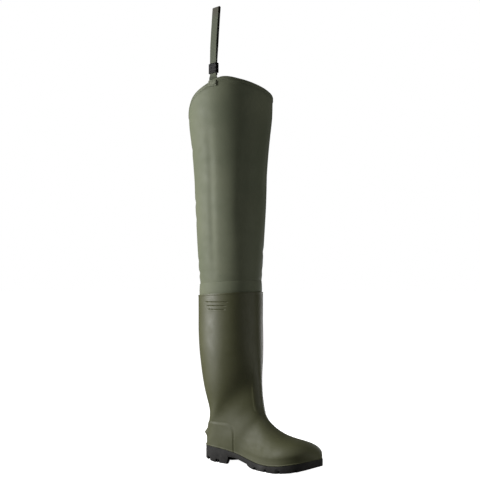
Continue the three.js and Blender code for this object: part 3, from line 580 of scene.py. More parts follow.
def evened(rings, rounds):
    """The rings with small ripples evened out, most of all round the ankle. The first and last
    rings and each ring's two ends keep their places across."""
    points = np.array(rings)
    ankle = 1.0
    for outside, inside in (ANKLE_LOW, ANKLE_HIGH):
        ankle = ankle * np.clip((points[:, :, 2:] - outside) / (inside - outside), 0, 1)
    along, across = EVEN_PLAIN + (EVEN_ANKLE - EVEN_PLAIN) * ankle, EVEN_ANKLE * ankle
    for _ in range(rounds):
        mean = (points[KEPT - 1:-KEPT - 1] + points[KEPT + 1:-KEPT + 1]) / 2
        points[KEPT:-KEPT] += (mean - points[KEPT:-KEPT]) * along[KEPT:-KEPT]
        mean = (points[:, :-2] + points[:, 2:]) / 2
        points[:, 1:-1] += (mean - points[:, 1:-1]) * across[:, 1:-1]
    return points


def boot_shell():
    """The boot as one moulded shell: outer face, rim, inner face and the open seat under it."""
    maker = bmesh.new()
    faces = []
    for inset, share in ((0.0, 1.0), (mm("boot_wall"), INNER_SHARE)):
        rings = [section_ring(row) for row in boot_sections(inset, share)]
        points = evened([ring for ring, _ in rings], round(EVENING_ROUNDS * share))
        grid = [[maker.verts.new(point) for point in ring] for ring in points]
        for r, (near, far) in enumerate(zip(grid, grid[1:])):
            count = len(near)
            for i in range(count - 1):
                maker.faces.new((near[i], far[i], far[i + 1], near[i + 1]))
            if rings[r + 1][1]:
                maker.faces.new((near[-1], far[-1], far[0], near[0]))
        maker.faces.new(grid[0])
        faces.append(grid)
    outer, inner = faces
    bmesh.ops.recalc_face_normals(maker, faces=maker.faces)
    maker.normal_update()
    moved = [(vertex, vertex.co + vertex.normal * boot_relief(vertex.co))
             for ring in outer for vertex in ring]
    for vertex, place in moved:
        vertex.co = place
    bridge(maker, outer[-1], inner[-1])
    return maker


# Outsole

# Radius of the tread's edges. The CAD's sharp edges are found by the angle between their faces.
SOLE_EDGE = 0.5
EDGE_ANGLE = math.radians(40)
SHADE_ANGLE = 28

# The grooves that run out at the sole's side: stations at the side and on the centre line, how
# deep they are, and half their width there.
SIDE_GROOVES = rows(
    "side tip deep half",
    (0.1, 0.075, 7, 3.4), (0.195, 0.135, 7, 3.4), (0.563, 0.7, 5, 3.2), (0.676, 0.812, 5.5, 4.2),
    (0.79, 0.925, 5.5, 4.6), (0.9, 0.93, 5.5, 5.0),
)

# A mouth's wedge: half its width at its narrow end, how far it reaches in and out from the edge,
# how far it starts under the floor, and the radius in which the sole's lowest point is sought.
MOUTH_NARROW = 1.6
MOUTH_IN, MOUTH_OUT = 7, 2
MOUTH_UNDER = -3.0
MOUTH_NEAR = 9


def outsole():
    """The outsole as the CAD has it, in millimetres on the shaft's axis."""
    node = bpy.data.objects["outsole"]
    maker = bmesh.new()
    maker.from_mesh(node.data)
    maker.transform(node.matrix_world)
    for vertex in maker.verts:
        vertex.co = (vertex.co - SHAFT_AXIS) / MM
    bmesh.ops.remove_doubles(maker, verts=maker.verts, dist=0.01)
    bmesh.ops.dissolve_limit(maker, angle_limit=math.radians(2), verts=maker.verts, edges=maker.edges)
    return maker


def groove_mouths(sole):
    """Wedges that open the grooves towards the sole's side, where the lugs' corners are drawn back."""
    maker = bmesh.new()
    edge = sole_outline(PLAN_STEPS)
    for row in SIDE_GROOVES:
        middle, half = sole_width(row["side"], edge)
        slope = (station_x(row["side"]) - station_x(row["tip"])) / (mm("ball_width") / 2)
        for hand in (-1, 1):
            mouth = Vector((station_x(row["side"]), middle + hand * half))
            lowest = min(v.co.z for v in sole.verts if (v.co.xy - mouth).length < MOUTH_NEAR)
            along = Vector((slope, hand))
            inner, outer = mouth - along * MOUTH_IN, mouth + along * MOUTH_OUT
            corners = [end + Vector((aside, 0)) for end, aside in (
                (inner, -MOUTH_NARROW), (outer, -row["half"]), (outer, row["half"]), (inner, MOUTH_NARROW))]
            low = [maker.verts.new((*corner, MOUTH_UNDER)) for corner in corners]
            high = [maker.verts.new((*corner, lowest + row["deep"])) for corner in corners]
            maker.faces.new(low)
            maker.faces.new(high[::-1])
            bridge(maker, low, high)
    bmesh.ops.recalc_face_normals(maker, faces=maker.faces)
    return maker


def rubber_sole():
    """Builds the outsole with open groove mouths and rounded edges."""
    maker = outsole()
    wedges = bpy.data.objects.new("wedges", bpy.data.meshes.new("wedges"))
    cutters = groove_mouths(maker)
    cutters.transform(Matrix.Translation(SHAFT_AXIS) @ Matrix.Scale(MM, 4))
    cutters.to_mesh(wedges.data)
    cutters.free()
    piece = new_piece("rubber_sole", maker, [material_of(moulded_rubber)], ["outsole"])
    cut = piece.modifiers.new("Mouths", "BOOLEAN")
    cut.object = wedges
    cut.solver = "EXACT"
    soft = piece.modifiers.new("Rounded", "BEVEL")
    soft.width = SOLE_EDGE * MM
    soft.segments = 2
    soft.angle_limit = EDGE_ANGLE
    apply_modifiers(piece)
    shade(piece.data, SHADE_ANGLE)
    bpy.data.objects.remove(wedges)


# Fabric leg

# Points round the leg, rings up it, its play inside the boot's wall, and the power by which the
# collar's rise and fall come in.
AROUND_LEG = 200
UP_LEG = 180
LEG_PLAY = 2.2
COLLAR_POWER = 5

# The share of the leg's height that is tucked into the boot, and that is left for the hem.
TUCK = 0.05
HEM_SHARE = 0.024

# The hem's turned edge: how far below the collar, as a share of the hem's width and with
# millimetres added, and how far out.
HEM_PROFILE = (
    (1, 0, 0.0), (1, -0.3, 0.2), (1, -0.9, 0.34), (1, -2, 0.4), (0.5, 0, 0.42), (0, 2, 0.45),
    (0, 0.7, 0.4), (0, 0.2, 0.25), (0, 0, 0.0),
)

# The welded band: millimetres over the rim and out from the leg, up its face and down its back.
BAND_PROFILE = (
    (-14, 0.4), (-14, 1.3), (-3, 1.5), (0, 1.9), (3, 2.5), (7, 2.6), (13, 2.4), (20, 2.0),
    (23.4, 1.8), (24.5, 1.7), (25, 1.4), (25, 0.5), (24.4, 0.3), (12, 0.3), (0, 0.3), (-13.6, 0.3),
)


def leg_in_boot():
    """Half depth and half breadth of the fabric leg where it goes into the boot."""
    inside = mm("boot_wall") + LEG_PLAY
    return mm("shaft_depth") / 2 - inside, mm("shaft_breadth") / 2 - inside


def collar_height(angle):
    count = len(COLLAR)
    place = (angle / (2 * math.pi) * count) % count
    i = int(place)
    near = [COLLAR[(i + step) % count] for step in (-1, 0, 1, 2)]
    return mm("collar_height") + mm("collar_slant") * hermite(*near, place - i)


def leg_place(angle, spread, out):
    """Plan position on the fabric leg, with angle 0 at the outer side, moved out square to it."""
    depth, breadth = leg_in_boot()
    depth += spread * (mm("thigh_depth") / 2 - depth) + out
    breadth += spread * (mm("thigh_breadth") / 2 - breadth) + out
    return depth * math.sin(angle), -breadth * math.cos(angle)


def leg_height(angle, x, up):
    """Height at a share of the way from the rim to the collar."""
    mean_rim, mean_collar = mm("rim_height"), mm("collar_height")
    bent = max(up, 0.0) ** COLLAR_POWER
    return (rim_height(x) + up * (mean_collar - mean_rim)
            + (collar_height(angle) - mean_collar) * bent - (rim_height(x) - mean_rim) * bent)


def spread_at(up):
    last = len(THIGH_SECTIONS) - 2
    i = 0
    while i < last and THIGH_SECTIONS[i + 1]["up"] <= up:
        i += 1
    start, end = THIGH_SECTIONS[i], THIGH_SECTIONS[i + 1]
    t = min(max((up - start["up"]) / (end["up"] - start["up"]), 0.0), 1.0)
    before, after = THIGH_SECTIONS[max(i - 1, 0)], THIGH_SECTIONS[min(i + 2, last + 1)]
    return hermite(before["spread"], start["spread"], end["spread"], after["spread"], t)


# A crease: the share of its depth that piles up beside it, how far it reaches in half widths,
# and the shares of its length over which its ends fade.
BESIDE = 0.7
REACH = 3
FADE = (-0.15, 0.35)

# Heights over the rim and under the collar in which the fabric's own forms set in.
CALM_RIM = (14, 44)
CALM_HEM = (14, 60)

# How far the fabric bags out by the boot, how much less by the thigh, between which heights, and
# the unevenness of it with the size of its waves.
SAG = 2.4
SAG_LESS = 1.8
SAG_HEIGHTS = (600, 720)
SAG_UNEVEN = 0.9
SAG_WAVES = (50, 120)


def crease_depth(angle, high):
    """How far the fabric lies below its plain form."""
    girth = mm("thigh_breadth") / 2
    depth = 0.0
    for row in CREASES:
        a, b = math.radians(row["angle_a"]), math.radians(row["angle_b"])
        turned = (angle - (a + b) / 2 + math.pi) % (2 * math.pi) - math.pi
        place = Vector((turned * girth, high))
        start = Vector(((a - b) / 2 * girth, row["high_a"]))
        along = Vector(((b - a) / 2 * girth, row["high_b"])) - start
        share = (place - start).dot(along) / along.length_squared
        nearest = start + along * min(max(share, 0.0), 1.0)
        away = ((place - nearest).length / row["wide"]) ** 2
        if away < REACH ** 2:
            ends = ease(*FADE, share) * ease(*FADE, 1 - share)
            depth += row["deep"] * (1 - BESIDE * away) * math.exp(-away) * ends
    return depth


def fabric_relief(angle, x, y, high):
    """Creases and a slight sag, which die out at the collar's hem and at the boot."""
    calm = ease(*CALM_RIM, high - mm("rim_height")) * ease(*CALM_HEM, collar_height(angle) - high)
    across, upwards = SAG_WAVES
    sag = SAG - SAG_LESS * ease(*SAG_HEIGHTS, high)
    sag += SAG_UNEVEN * noise.noise(Vector((x / across, y / across, high / upwards)))
    return calm * (sag - crease_depth(angle, high))


def leg_ring(up, out, drop=None):
    """A ring of the fabric leg at a share of its height, or a drop below the collar."""
    ring = []
    spread = spread_at(up) if drop is None else 1.0
    for angle in turns(AROUND_LEG):
        x, y = leg_place(angle, spread, 0)
        high = leg_height(angle, x, up) if drop is None else collar_height(angle) - drop
        x, y = leg_place(angle, spread, out + fabric_relief(angle, x, y, high))
        ring.append(Vector((x, y, high)))
    return ring


def fabric_leg():
    """The fabric leg: outer face, turned hem and inner face, which shows the fabric's other side."""
    maker = bmesh.new()
    hem, fabric = mm("hem_width"), mm("fabric")
    levels = [-TUCK + (1 + TUCK - HEM_SHARE) * i / UP_LEG for i in range(UP_LEG)]
    rings = [leg_ring(up, 0.0) for up in levels]
    turned = [(hem * share + more, out) for share, more, out in HEM_PROFILE]
    turned += [(0.0, -fabric / 2), (0.4, -fabric)]
    rings += [leg_ring(1.0, out, drop) for drop, out in turned]
    rings += [leg_ring(up, -fabric) for up in levels[::-6] + [levels[0]]]
    grid = add_tube(maker, rings)
    inside = {vertex for ring in grid[UP_LEG + len(HEM_PROFILE):] for vertex in ring}
    for face in maker.faces:
        face.material_index = int(all(vertex in inside for vertex in face.verts))
    return maker


def weld_band():
    """The band that is welded over the joint between the boot and the fabric leg."""
    maker = bmesh.new()
    rings = []
    for up, out in BAND_PROFILE:
        places = [leg_place(turn, 0.0, out) for turn in turns(AROUND_LEG)]
        rings.append([Vector((x, y, rim_height(x) + up)) for x, y in places])
    add_tube(maker, rings)
    return maker


# Strap

# The strap's place forward of the leg's outer side, its turn about the upright, how far its top
# leans forward, and the gap between its layers at the top.
STRAP_FORWARD = 21.0
STRAP_TURN = math.radians(-8)
STRAP_LEAN = 10.0
STRAP_GAP = 3.6

# The slide: height over the floor, its own height, its wall, its play round the webbing, and the
# bar between its two slots.
SLIDE_BASE = 844.0
SLIDE_HEIGHT = 21.5
SLIDE_WALL = 2.0
GAP = 0.3
DIVIDER = 1.0

# The slide's ribs: where each starts and how tall it is, as shares of the slide's height, how far
# it stands out, and how far its ends are set in.
RIB_STARTS = (0.07, 0.42, 0.8)
RIB_TALL = 0.14
RIB_OUT = 0.8
RIB_SET_IN = 1.5

# Fineness of the slide's mesh, and the rounds that smooth its edges.
SLIDE_VOXEL = 0.4
SLIDE_SMOOTHING = 3

# The webbing: the run over the slide in which its layers part, the power of its lean's curve, how
# far it is behind the collar's wall, its places inside the collar as drops below the edge, and
# the points on its rise to the slide, on its run over the slide and on its fold.
OPENING = 40
LEAN_POWER = 1.3
BEHIND_WALL = 1.4
INSIDE_DROPS = (20, 13, 6, 1, -4)
RISE_STEPS = 6
RUN_STEPS = 30
FOLD_STEPS = 14


def strap_numbers():
    """The strap's base on the collar, the wall's turn there, and where the loop's layers lie."""
    half_depth, half_breadth = mm("thigh_depth") / 2, mm("thigh_breadth") / 2
    angle = math.asin(STRAP_FORWARD / half_depth)
    wall_turn = math.atan2(half_breadth * math.sin(angle), half_depth * math.cos(angle))
    step = mm("webbing") + 2 * GAP
    return {
        "angle": angle,
        "base": Vector((*leg_place(angle, 1.0, 0.0), 0.0)),
        "wall_turn": wall_turn,
        "step": step,
        "layers": step + DIVIDER,
        "middle": -mm("fabric") - BEHIND_WALL - mm("webbing") / 2,
    }


def strap_place(facts, turn, lean, forward, high, tilt=0.0):
    """A place of the webbing: its middle, and the directions of its width and thickness."""
    angle = facts["wall_turn"] + (STRAP_TURN - facts["wall_turn"]) * turn
    across = Vector((math.cos(angle), math.sin(angle), 0))
    out = outwards(angle)
    middle = facts["base"] + across * lean + out * forward
    middle.z = high
    tilted = out * math.cos(tilt) + Vector((0, 0, 1)) * math.sin(tilt)
    return middle, across, tilted


def strap_route():
    """The webbing's places: up from inside the collar, over the top of the loop and down again."""
    facts = strap_numbers()
    collar = collar_height(facts["angle"])
    slide_top = SLIDE_BASE + SLIDE_HEIGHT
    half_layers = facts["layers"] / 2
    middle, thickness = facts["middle"], mm("webbing")
    swell = (STRAP_GAP + thickness) / 2
    bend = mm("strap_top") - swell - thickness / 2

    def lean(high):
        share = (high - slide_top) / (mm("strap_top") - slide_top)
        return STRAP_LEAN * max(0.0, share) ** LEAN_POWER

    def opened(high):
        return half_layers + (swell - half_layers) * ease(0, OPENING, high - slide_top)

    places = [strap_place(facts, 0, 0, middle, collar - drop) for drop in INSIDE_DROPS]
    first, last = collar - INSIDE_DROPS[-1], SLIDE_BASE - 2
    for i in range(1, RISE_STEPS + 1):
        t = ease(0, RISE_STEPS, i)
        high = first + (last - first) * i / RISE_STEPS
        places.append(strap_place(facts, t, 0, middle + half_layers * t, high))
    heights = [slide_top + 2 + (bend - slide_top - 2) * i / RUN_STEPS for i in range(RUN_STEPS + 1)]
    for high in heights:
        places.append(strap_place(facts, 1, lean(high), middle + opened(high), high))
    for i in range(1, FOLD_STEPS):
        turn = i / FOLD_STEPS * math.pi
        high = bend + swell * math.sin(turn)
        places.append(strap_place(facts, 1, lean(high), middle + swell * math.cos(turn), high, turn))
    for high in reversed(heights):
        places.append(strap_place(facts, 1, lean(high), middle - opened(high), high, math.pi))
    places.append(strap_place(facts, 1, 0, middle - half_layers, SLIDE_BASE - 5, math.pi))
    return places


def ribbon(places, width, thickness):
    """A flat band with rounded edges through places, with its length along the UV map."""
    maker = bmesh.new()
    half, edge = width / 2, thickness / 2
    flat = half - edge * 0.3
    section = [(-flat, -edge), (flat, -edge), (half, -edge / 2), (half, edge / 2),
               (flat, edge), (-flat, edge), (-half, edge / 2), (-half, -edge / 2)]
    rings = [[middle + across * u + out * v for u, v in section] for middle, across, out in places]
    grid = add_grid(maker, rings, True)
    maker.faces.new(grid[0])
    maker.faces.new(grid[-1])
    layer = maker.loops.layers.uv.new("Weave")
    run = [0.0]
    for near, far in zip(places, places[1:]):
        run.append(run[-1] + (far[0] - near[0]).length)
    where = {}
    for r, ring in enumerate(grid):
        for (u, _), vertex in zip(section, ring):
            where[vertex] = (u * MM, run[r] * MM)
    for face in maker.faces:
        for loop in face.loops:
            loop[layer].uv = where[loop.vert]
    return maker


def slide():
    """The slide: a moulded sleeve with two slots for the webbing, and three ribs to grip. Its bars
    are boxes, given across the webbing, through it and upwards, which are fused later."""
    facts = strap_numbers()
    slot = mm("webbing_width") / 2 + GAP
    half = slot + SLIDE_WALL
    wall = facts["layers"] / 2 + facts["step"] / 2
    depth = wall + SLIDE_WALL * 0.7
    bars = [(-half, -slot, -depth, depth, 0, 1), (slot, half, -depth, depth, 0, 1),
            (-half, half, -depth, -wall, 0, 1), (-half, half, wall, depth, 0, 1),
            (-half, half, -DIVIDER / 2, DIVIDER / 2, 0, 1)]
    rib = half - RIB_SET_IN
    bars += [(-rib, rib, depth - 0.5, depth + RIB_OUT, start, start + RIB_TALL) for start in RIB_STARTS]
    maker = bmesh.new()
    for left, right, back, front, low, high in bars:
        ends = []
        for share in (low, high):
            level = SLIDE_BASE + share * SLIDE_HEIGHT
            corners = ((left, back), (right, back), (right, front), (left, front))
            ends.append([maker.verts.new(strap_place(facts, 1, u, facts["middle"] + v, level)[0])
                         for u, v in corners])
        bridge(maker, *ends)
        maker.faces.new(ends[0][::-1])
        maker.faces.new(ends[1])
    return maker


def fused(piece):
    """Fuses a piece's overlapping bars into one moulded solid with rounded edges."""
    remesh = piece.modifiers.new("Fused", "REMESH")
    remesh.mode = "VOXEL"
    remesh.voxel_size = SLIDE_VOXEL * MM
    soft = piece.modifiers.new("Rounded", "SMOOTH")
    soft.iterations = SLIDE_SMOOTHING
    soft.factor = 0.5
    apply_modifiers(piece)
    piece.data.shade_smooth()


def apply_modifiers(piece):
    """Turns a piece's modifiers into its mesh."""
    depsgraph = bpy.context.evaluated_depsgraph_get()
    made = bpy.data.meshes.new_from_object(piece.evaluated_get(depsgraph))
    piece.modifiers.clear()
    old = piece.data
    made.name = old.name
    piece.data = made
    bpy.data.meshes.remove(old)


# Tab and stitches

TAB_WIDTH = 19.0
TAB_HEIGHT = 12.0
TAB_THICKNESS = 1.2
TAB_STEPS = (26, 18)

# How far the tab's middle is set out from the leg's plain form to clear the hem, and how far its
# seam is from its edge.
HEM_OUT = 0.7
SEAM_IN = 2.2

# The seams' places: how far the hem's two are from the collar's edge and from the hem's foot, how
# far out they lie, and how deep the tab's is drawn in and how deep its thread lies.
HEM_SEAM_TOP, HEM_SEAM_FOOT = 2.4, 1.6
HEM_SEAM_OUT = 0.45
TAB_SEAM = (-0.25, SEAM_IN, 0.6)
TAB_SEAM_DEEP = 0.15

# A seam's step as a share of a stitch's length, and where in the step the thread shows.
HEM_STEP, HEM_SHOWS = 1.35, (0, 0.74)
TAB_STEP, TAB_SHOWS = 0.85, (0.1, 0.86)

# A stitch's thread: share of its length, rise and girth, both as shares of half the thread.
STITCH = ((0.0, -0.3, 0.6), (0.12, 0.4, 0.95), (0.5, 0.75, 1.0), (0.88, 0.4, 0.95), (1.0, -0.3, 0.6))


def tab_place(along, up, out):
    """A place on the tab: along the collar and up from its middle, and out from the hem."""
    facts = strap_numbers()
    angle = facts["angle"] + along / (mm("thigh_depth") / 2)
    x, y = leg_place(angle, 1.0, HEM_OUT + GAP + TAB_THICKNESS / 2 + out)
    return Vector((x, y, collar_height(facts["angle"]) - TAB_HEIGHT / 2 - 1 + up))


def collar_tab():
    """The patch sewn over the hem where the strap is held, with its edges turned in."""
    maker = bmesh.new()
    across, upwards = TAB_STEPS
    sides = []
    for side in (1, -1):
        grid = []
        for r in range(upwards + 1):
            up = TAB_HEIGHT * (r / upwards - 0.5)
            ring = []
            for c in range(across + 1):
                along = TAB_WIDTH * (c / across - 0.5)
                edge = min(TAB_WIDTH / 2 - abs(along), TAB_HEIGHT / 2 - abs(up))
                thick = TAB_THICKNESS / 2 * (0.35 + 0.65 * ease(0, 0.9, edge))
                if side > 0:
                    thick += bead(edge, *TAB_SEAM)
                ring.append(tab_place(along, up, side * thick))
            grid.append(ring)
        sides.append(add_grid(maker, grid, False))
    rims = []
    for grid in sides:
        rims.append(grid[0] + [ring[-1] for ring in grid[1:-1]] + grid[-1][::-1]
                    + [ring[0] for ring in grid[-2:0:-1]])
    bridge(maker, *rims)
    return maker


def add_stitches(maker, count, gap, place, out):
    """A row of stitches on a line that place and out give: each a short thread that rises between
    its two holes. gap: where it starts and ends, as shares of its step."""
    radius = mm("thread") / 2
    for i in range(count):
        start, end = (place((i + share) / count) for share in gap)
        upright = out((i + sum(gap) / 2) / count)
        side = (end - start).normalized().cross(upright).normalized()
        rings = []
        for share, lift, size in STITCH:
            middle = start.lerp(end, share) + upright * (lift * radius)
            rings.append([middle + (side * math.cos(turn) + upright * math.sin(turn)) * radius * size
                          for turn in turns(6)])
        grid = add_grid(maker, rings, True)
        maker.faces.new(grid[0])
        maker.faces.new(grid[-1][::-1])


def stitches():
    """Two rows of stitches along the hem and one round the tab."""
    maker = bmesh.new()
    girth = math.pi * (mm("thigh_depth") + mm("thigh_breadth")) / 2
    count = round(girth / (mm("stitch") * HEM_STEP))
    for drop in (HEM_SEAM_TOP, mm("hem_width") - HEM_SEAM_FOOT):
        def on_hem(share):
            angle = share * 2 * math.pi
            x, y = leg_place(angle, 1.0, HEM_SEAM_OUT)
            return Vector((x, y, collar_height(angle) - drop))

        add_stitches(maker, count, HEM_SHOWS, on_hem, lambda share: outwards(share * 2 * math.pi))
    wide, tall = TAB_WIDTH / 2 - SEAM_IN, TAB_HEIGHT / 2 - SEAM_IN
    corners = [Vector(corner) for corner in ((-wide, -tall), (wide, -tall), (wide, tall), (-wide, tall))]
    out = outwards(strap_numbers()["angle"])
    for start, end in zip(corners, corners[1:] + corners[:1]):
        def on_tab(share):
            return tab_place(*start.lerp(end, share), TAB_THICKNESS / 2 - TAB_SEAM_DEEP)

        number = max(round((end - start).length / (mm("stitch") * TAB_STEP)), 2)
        add_stitches(maker, number, TAB_SHOWS, on_tab, lambda share: out)
    return maker


# Materials

WHITE = (1.0, 1.0, 1.0, 1.0)


def linear(text):
    """Linear colour from an sRGB hex value such as "#4c5035"."""
    values = [int(text[i:i + 2], 16) / 255 for i in (1, 3, 5)]
    return (*(v / 12.92 if v <= 0.04045 else ((v + 0.055) / 1.055) ** 2.4 for v in values), 1.0)


class WaderColours(bpy.types.PropertyGroup):
    """Colours of the wader's materials."""

    def tone(label, text, value):
        return bpy.props.FloatVectorProperty(
            name=label, description=text, default=linear(value), size=4, min=0.0, max=1.0,
            subtype="COLOR")

    pvc: tone("Boot", "Olive PVC of the boot", "#46472c")
    pvc_pale: tone("Boot, rubbed", "Where the boot's PVC is rubbed paler", "#525338")
    fabric: tone("Fabric", "Coated fabric of the leg", "#5d624e")
    fabric_pale: tone("Fabric, rubbed", "Where the coating is paler", "#6c6f5a")
    lining: tone("Fabric, inside", "Uncoated inside of the fabric", "#7d8273")
    # Painted shade between the webbing's threads, not a colour of the yarn.
    webbing: tone("Webbing", "Hanging loop", "#4f5638")
    webbing_dark: tone("Webbing, dark", "Between the webbing's threads", "#23281a")
    # Painted shade over the top of the hanging loop, standing in for the shadow in its fold.
    webbing_soiled: tone("Webbing, soiled", "Top of the hanging loop", "#332e1f")
    thread: tone("Thread", "Sewing thread", "#59604c")
    rubber: tone("Sole", "Rubber of the sole", "#242322")
    rubber_pale: tone("Sole, scuffed", "Where the sole is scuffed", "#363532")
    slide: tone("Slide", "Plastic of the slide", "#0b0b0a")
    felt: tone("Insole", "Felt of the insole", "#8a8672")
    floor: tone("Floor", "Studio floor", "#f4f4f2")
    flags: tone("Flags", "What the floor throws back on the wader", "#6e6e6c")


def tint(name):
    return tuple(getattr(bpy.context.scene.wader_colours, name))


def add_node(owner, kind, inputs, output=0, **settings):
    """Adds a node to a material or world and gives one of its outputs. An input takes a value or
    an earlier node's output."""
    node = owner.node_tree.nodes.new("ShaderNode" + kind)
    for name, value in settings.items():
        setattr(node, name, value)
    for key, value in inputs.items():
        if isinstance(value, bpy.types.NodeSocket):
            owner.node_tree.links.new(value, node.inputs[key])
        else:
            node.inputs[key].default_value = value
    return node.outputs[output] if node.outputs else None


def grain(size):
    """The scale of a noise whose patches have a size in millimetres."""
    return 1 / (size * MM)


def pitch(size):
    """The scale of a wave texture, which has 20 radians to a unit, for a pitch in millimetres."""
    return 2 * math.pi / (20 * size * MM)


MATERIALS = {}


def material_of(make):
    """A material, made once. The function fills it and gives its surface, with add to add a node
    and place for the object's own coordinates, in metres."""
    name = make.__name__
    if name not in MATERIALS:
        material = bpy.data.materials.new(name)
        material.use_nodes = True
        material.node_tree.nodes.clear()
        add = partial(add_node, material)
        add("OutputMaterial", {"Surface": make(add, add("TexCoord", {}, "Object"))})
        MATERIALS[name] = material
    return MATERIALS[name]


def moulded_pvc(add, place):
    """PVC injected round a last: satin, with a faint orange peel and a little handling wear."""
    patches = add("TexNoise", {
        "Vector": place, "Scale": grain(70), "Detail": 4, "Roughness": 0.55})
    worn = add("MapRange", {"Value": patches, "From Min": 0.45, "From Max": 0.8, "To Max": 0.55})
    colour = add("Mix", {0: worn, 6: tint("pvc"), 7: tint("pvc_pale")}, 2, data_type="RGBA")
    peel = add("TexNoise", {
        "Vector": place, "Scale": grain(2.4), "Detail": 2, "Roughness": 0.55})
    flow = add("TexNoise", {
        "Vector": place, "Scale": grain(28), "Detail": 2, "Roughness": 0.55})
    fine = add("Bump", {"Height": peel, "Distance": 0.05 * MM, "Strength": 0.6})
    relief = add("Bump", {
        "Height": flow, "Distance": 0.35 * MM, "Strength": 0.5, "Normal": fine})
    handled = add("TexNoise", {
        "Vector": place, "Scale": grain(16), "Detail": 5, "Roughness": 0.55})
    satin = add("MapRange", {
        "Value": handled, "From Min": 0.3, "From Max": 0.75, "To Min": 0.46, "To Max": 0.58})
    # The foot is scuffed duller than the shaft, from 50 to 130 mm up.
    high = add("SeparateXYZ", {"Vector": place}, "Z")
    scuffed = add("MapRange", {
        "Value": high, "From Min": 0.05, "From Max": 0.13, "To Min": 0.16, "To Max": 0.0})
    rough = add("Math", {0: satin, 1: scuffed}, operation="ADD")
    return add("BsdfPrincipled", {
        "Base Color": colour, "Roughness": rough, "Normal": relief, "IOR": 1.53,
        "Specular IOR Level": 0.4})


def coated_fabric(add, place):
    """Nylon with a PVC coat laid on as a film: a soft sheen with the weave just telling through."""
    patches = add("TexNoise", {
        "Vector": place, "Scale": grain(90), "Detail": 3, "Roughness": 0.55})
    worn = add("MapRange", {"Value": patches, "From Min": 0.35, "From Max": 0.75, "To Max": 0.7})
    colour = add("Mix", {0: worn, 6: tint("fabric"), 7: tint("fabric_pale")}, 2, data_type="RGBA")
    # The real weave has two threads to the millimetre. It is drawn eight times as coarse, to show.
    warp, weft = (
        add("TexWave", {"Vector": place, "Scale": pitch(3.95), "Distortion": 0.4}, "Fac",
            bands_direction=way)
        for way in ("Z", "DIAGONAL"))
    weave = add("Math", {0: warp, 1: weft}, operation="MULTIPLY")
    crumple = add("TexNoise", {
        "Vector": place, "Scale": grain(14), "Detail": 3, "Roughness": 0.5})
    fine = add("Bump", {"Height": weave, "Distance": 0.04 * MM, "Strength": 0.35})
    relief = add("Bump", {
        "Height": crumple, "Distance": 0.3 * MM, "Strength": 0.4, "Normal": fine})
    handled = add("TexNoise", {
        "Vector": place, "Scale": grain(22), "Detail": 4, "Roughness": 0.55})
    rough = add("MapRange", {
        "Value": handled, "From Min": 0.3, "From Max": 0.7, "To Min": 0.58, "To Max": 0.7})
    return add("BsdfPrincipled", {
        "Base Color": colour, "Roughness": rough, "Normal": relief, "IOR": 1.5,
        "Specular IOR Level": 0.25, "Sheen Weight": 0.05, "Sheen Roughness": 0.4})


def nylon_lining(add, place):
    """The fabric's uncoated side: matt nylon with its weave in the open."""
    patches = add("TexNoise", {
        "Vector": place, "Scale": grain(40), "Detail": 3, "Roughness": 0.55})
    colour = add("Mix", {0: patches, 6: tint("lining"), 7: tint("fabric_pale")}, 2, data_type="RGBA")
    # Drawn about three times as coarse as the threads, to show.
    weave = add("TexNoise", {
        "Vector": place, "Scale": grain(1.6), "Detail": 1, "Roughness": 0.55})
    relief = add("Bump", {"Height": weave, "Distance": 0.15 * MM, "Strength": 0.6})
    return add("BsdfPrincipled", {
        "Base Color": colour, "Roughness": 0.85, "Normal": relief, "IOR": 1.5})


def woven_webbing(add, place):
    """Polypropylene webbing off a narrow loom: ribs across it, and painted shade in the lines between the
    warps.
    """
    along = add("UVMap", {}, uv_map="Weave")
    # Ribs and warps are drawn about twice as coarse as the real ones, to show.
    ribs, warps = (
        add("TexWave", {"Vector": along, "Scale": pitch(size), "Distortion": uneven}, "Fac",
            bands_direction=way)
        for way, size, uneven in (("Y", 3.16, 1.0), ("X", 2.47, 0.2)))
    threads = add("Math", {0: ribs, 1: warps}, operation="MULTIPLY")
    raised = add("MapRange", {"Value": threads, "From Max": 0.5})
    # Between the threads the colour is darkened with painted shade.
    weave_colour = add("Mix", {0: raised, 6: tint("webbing_dark"), 7: tint("webbing")}, 2, data_type="RGBA")
    # The loop's top is darkened towards brown with painted shade, as the shadow in its fold, over its last
    # 26 to 12 mm.
    high = add("SeparateXYZ", {"Vector": place}, "Z")
    top = mm("strap_top")
    fold_shade = add("MapRange", {
        "Value": high, "From Min": (top - 26) * MM, "From Max": (top - 12) * MM, "To Max": 0.8})
    colour = add("Mix", {0: fold_shade, 6: weave_colour, 7: tint("webbing_soiled")}, 2, data_type="RGBA")
    relief = add("Bump", {"Height": threads, "Distance": 0.25 * MM, "Strength": 0.8})
    return add("BsdfPrincipled", {
        "Base Color": colour, "Roughness": 0.78, "Normal": relief, "IOR": 1.49,
        "Sheen Weight": 0.2, "Sheen Roughness": 0.5})


def moulded_rubber(add, place):
    """Vulcanised rubber from a blasted mould: dull black-grey, scuffed paler."""
    scuffs = add("TexNoise", {
        "Vector": place, "Scale": grain(9), "Detail": 6, "Roughness": 0.7})
    worn = add("MapRange", {"Value": scuffs, "From Min": 0.42, "From Max": 0.72, "To Max": 0.8})
    colour = add("Mix", {0: worn, 6: tint("rubber"), 7: tint("rubber_pale")}, 2, data_type="RGBA")
    blasted = add("TexNoise", {
        "Vector": place, "Scale": grain(1.2), "Detail": 3, "Roughness": 0.55})
    relief = add("Bump", {"Height": blasted, "Distance": 0.12 * MM, "Strength": 0.6})
    return add("BsdfPrincipled", {
        "Base Color": colour, "Roughness": 0.66, "Normal": relief, "IOR": 1.52,
        "Specular IOR Level": 0.25})


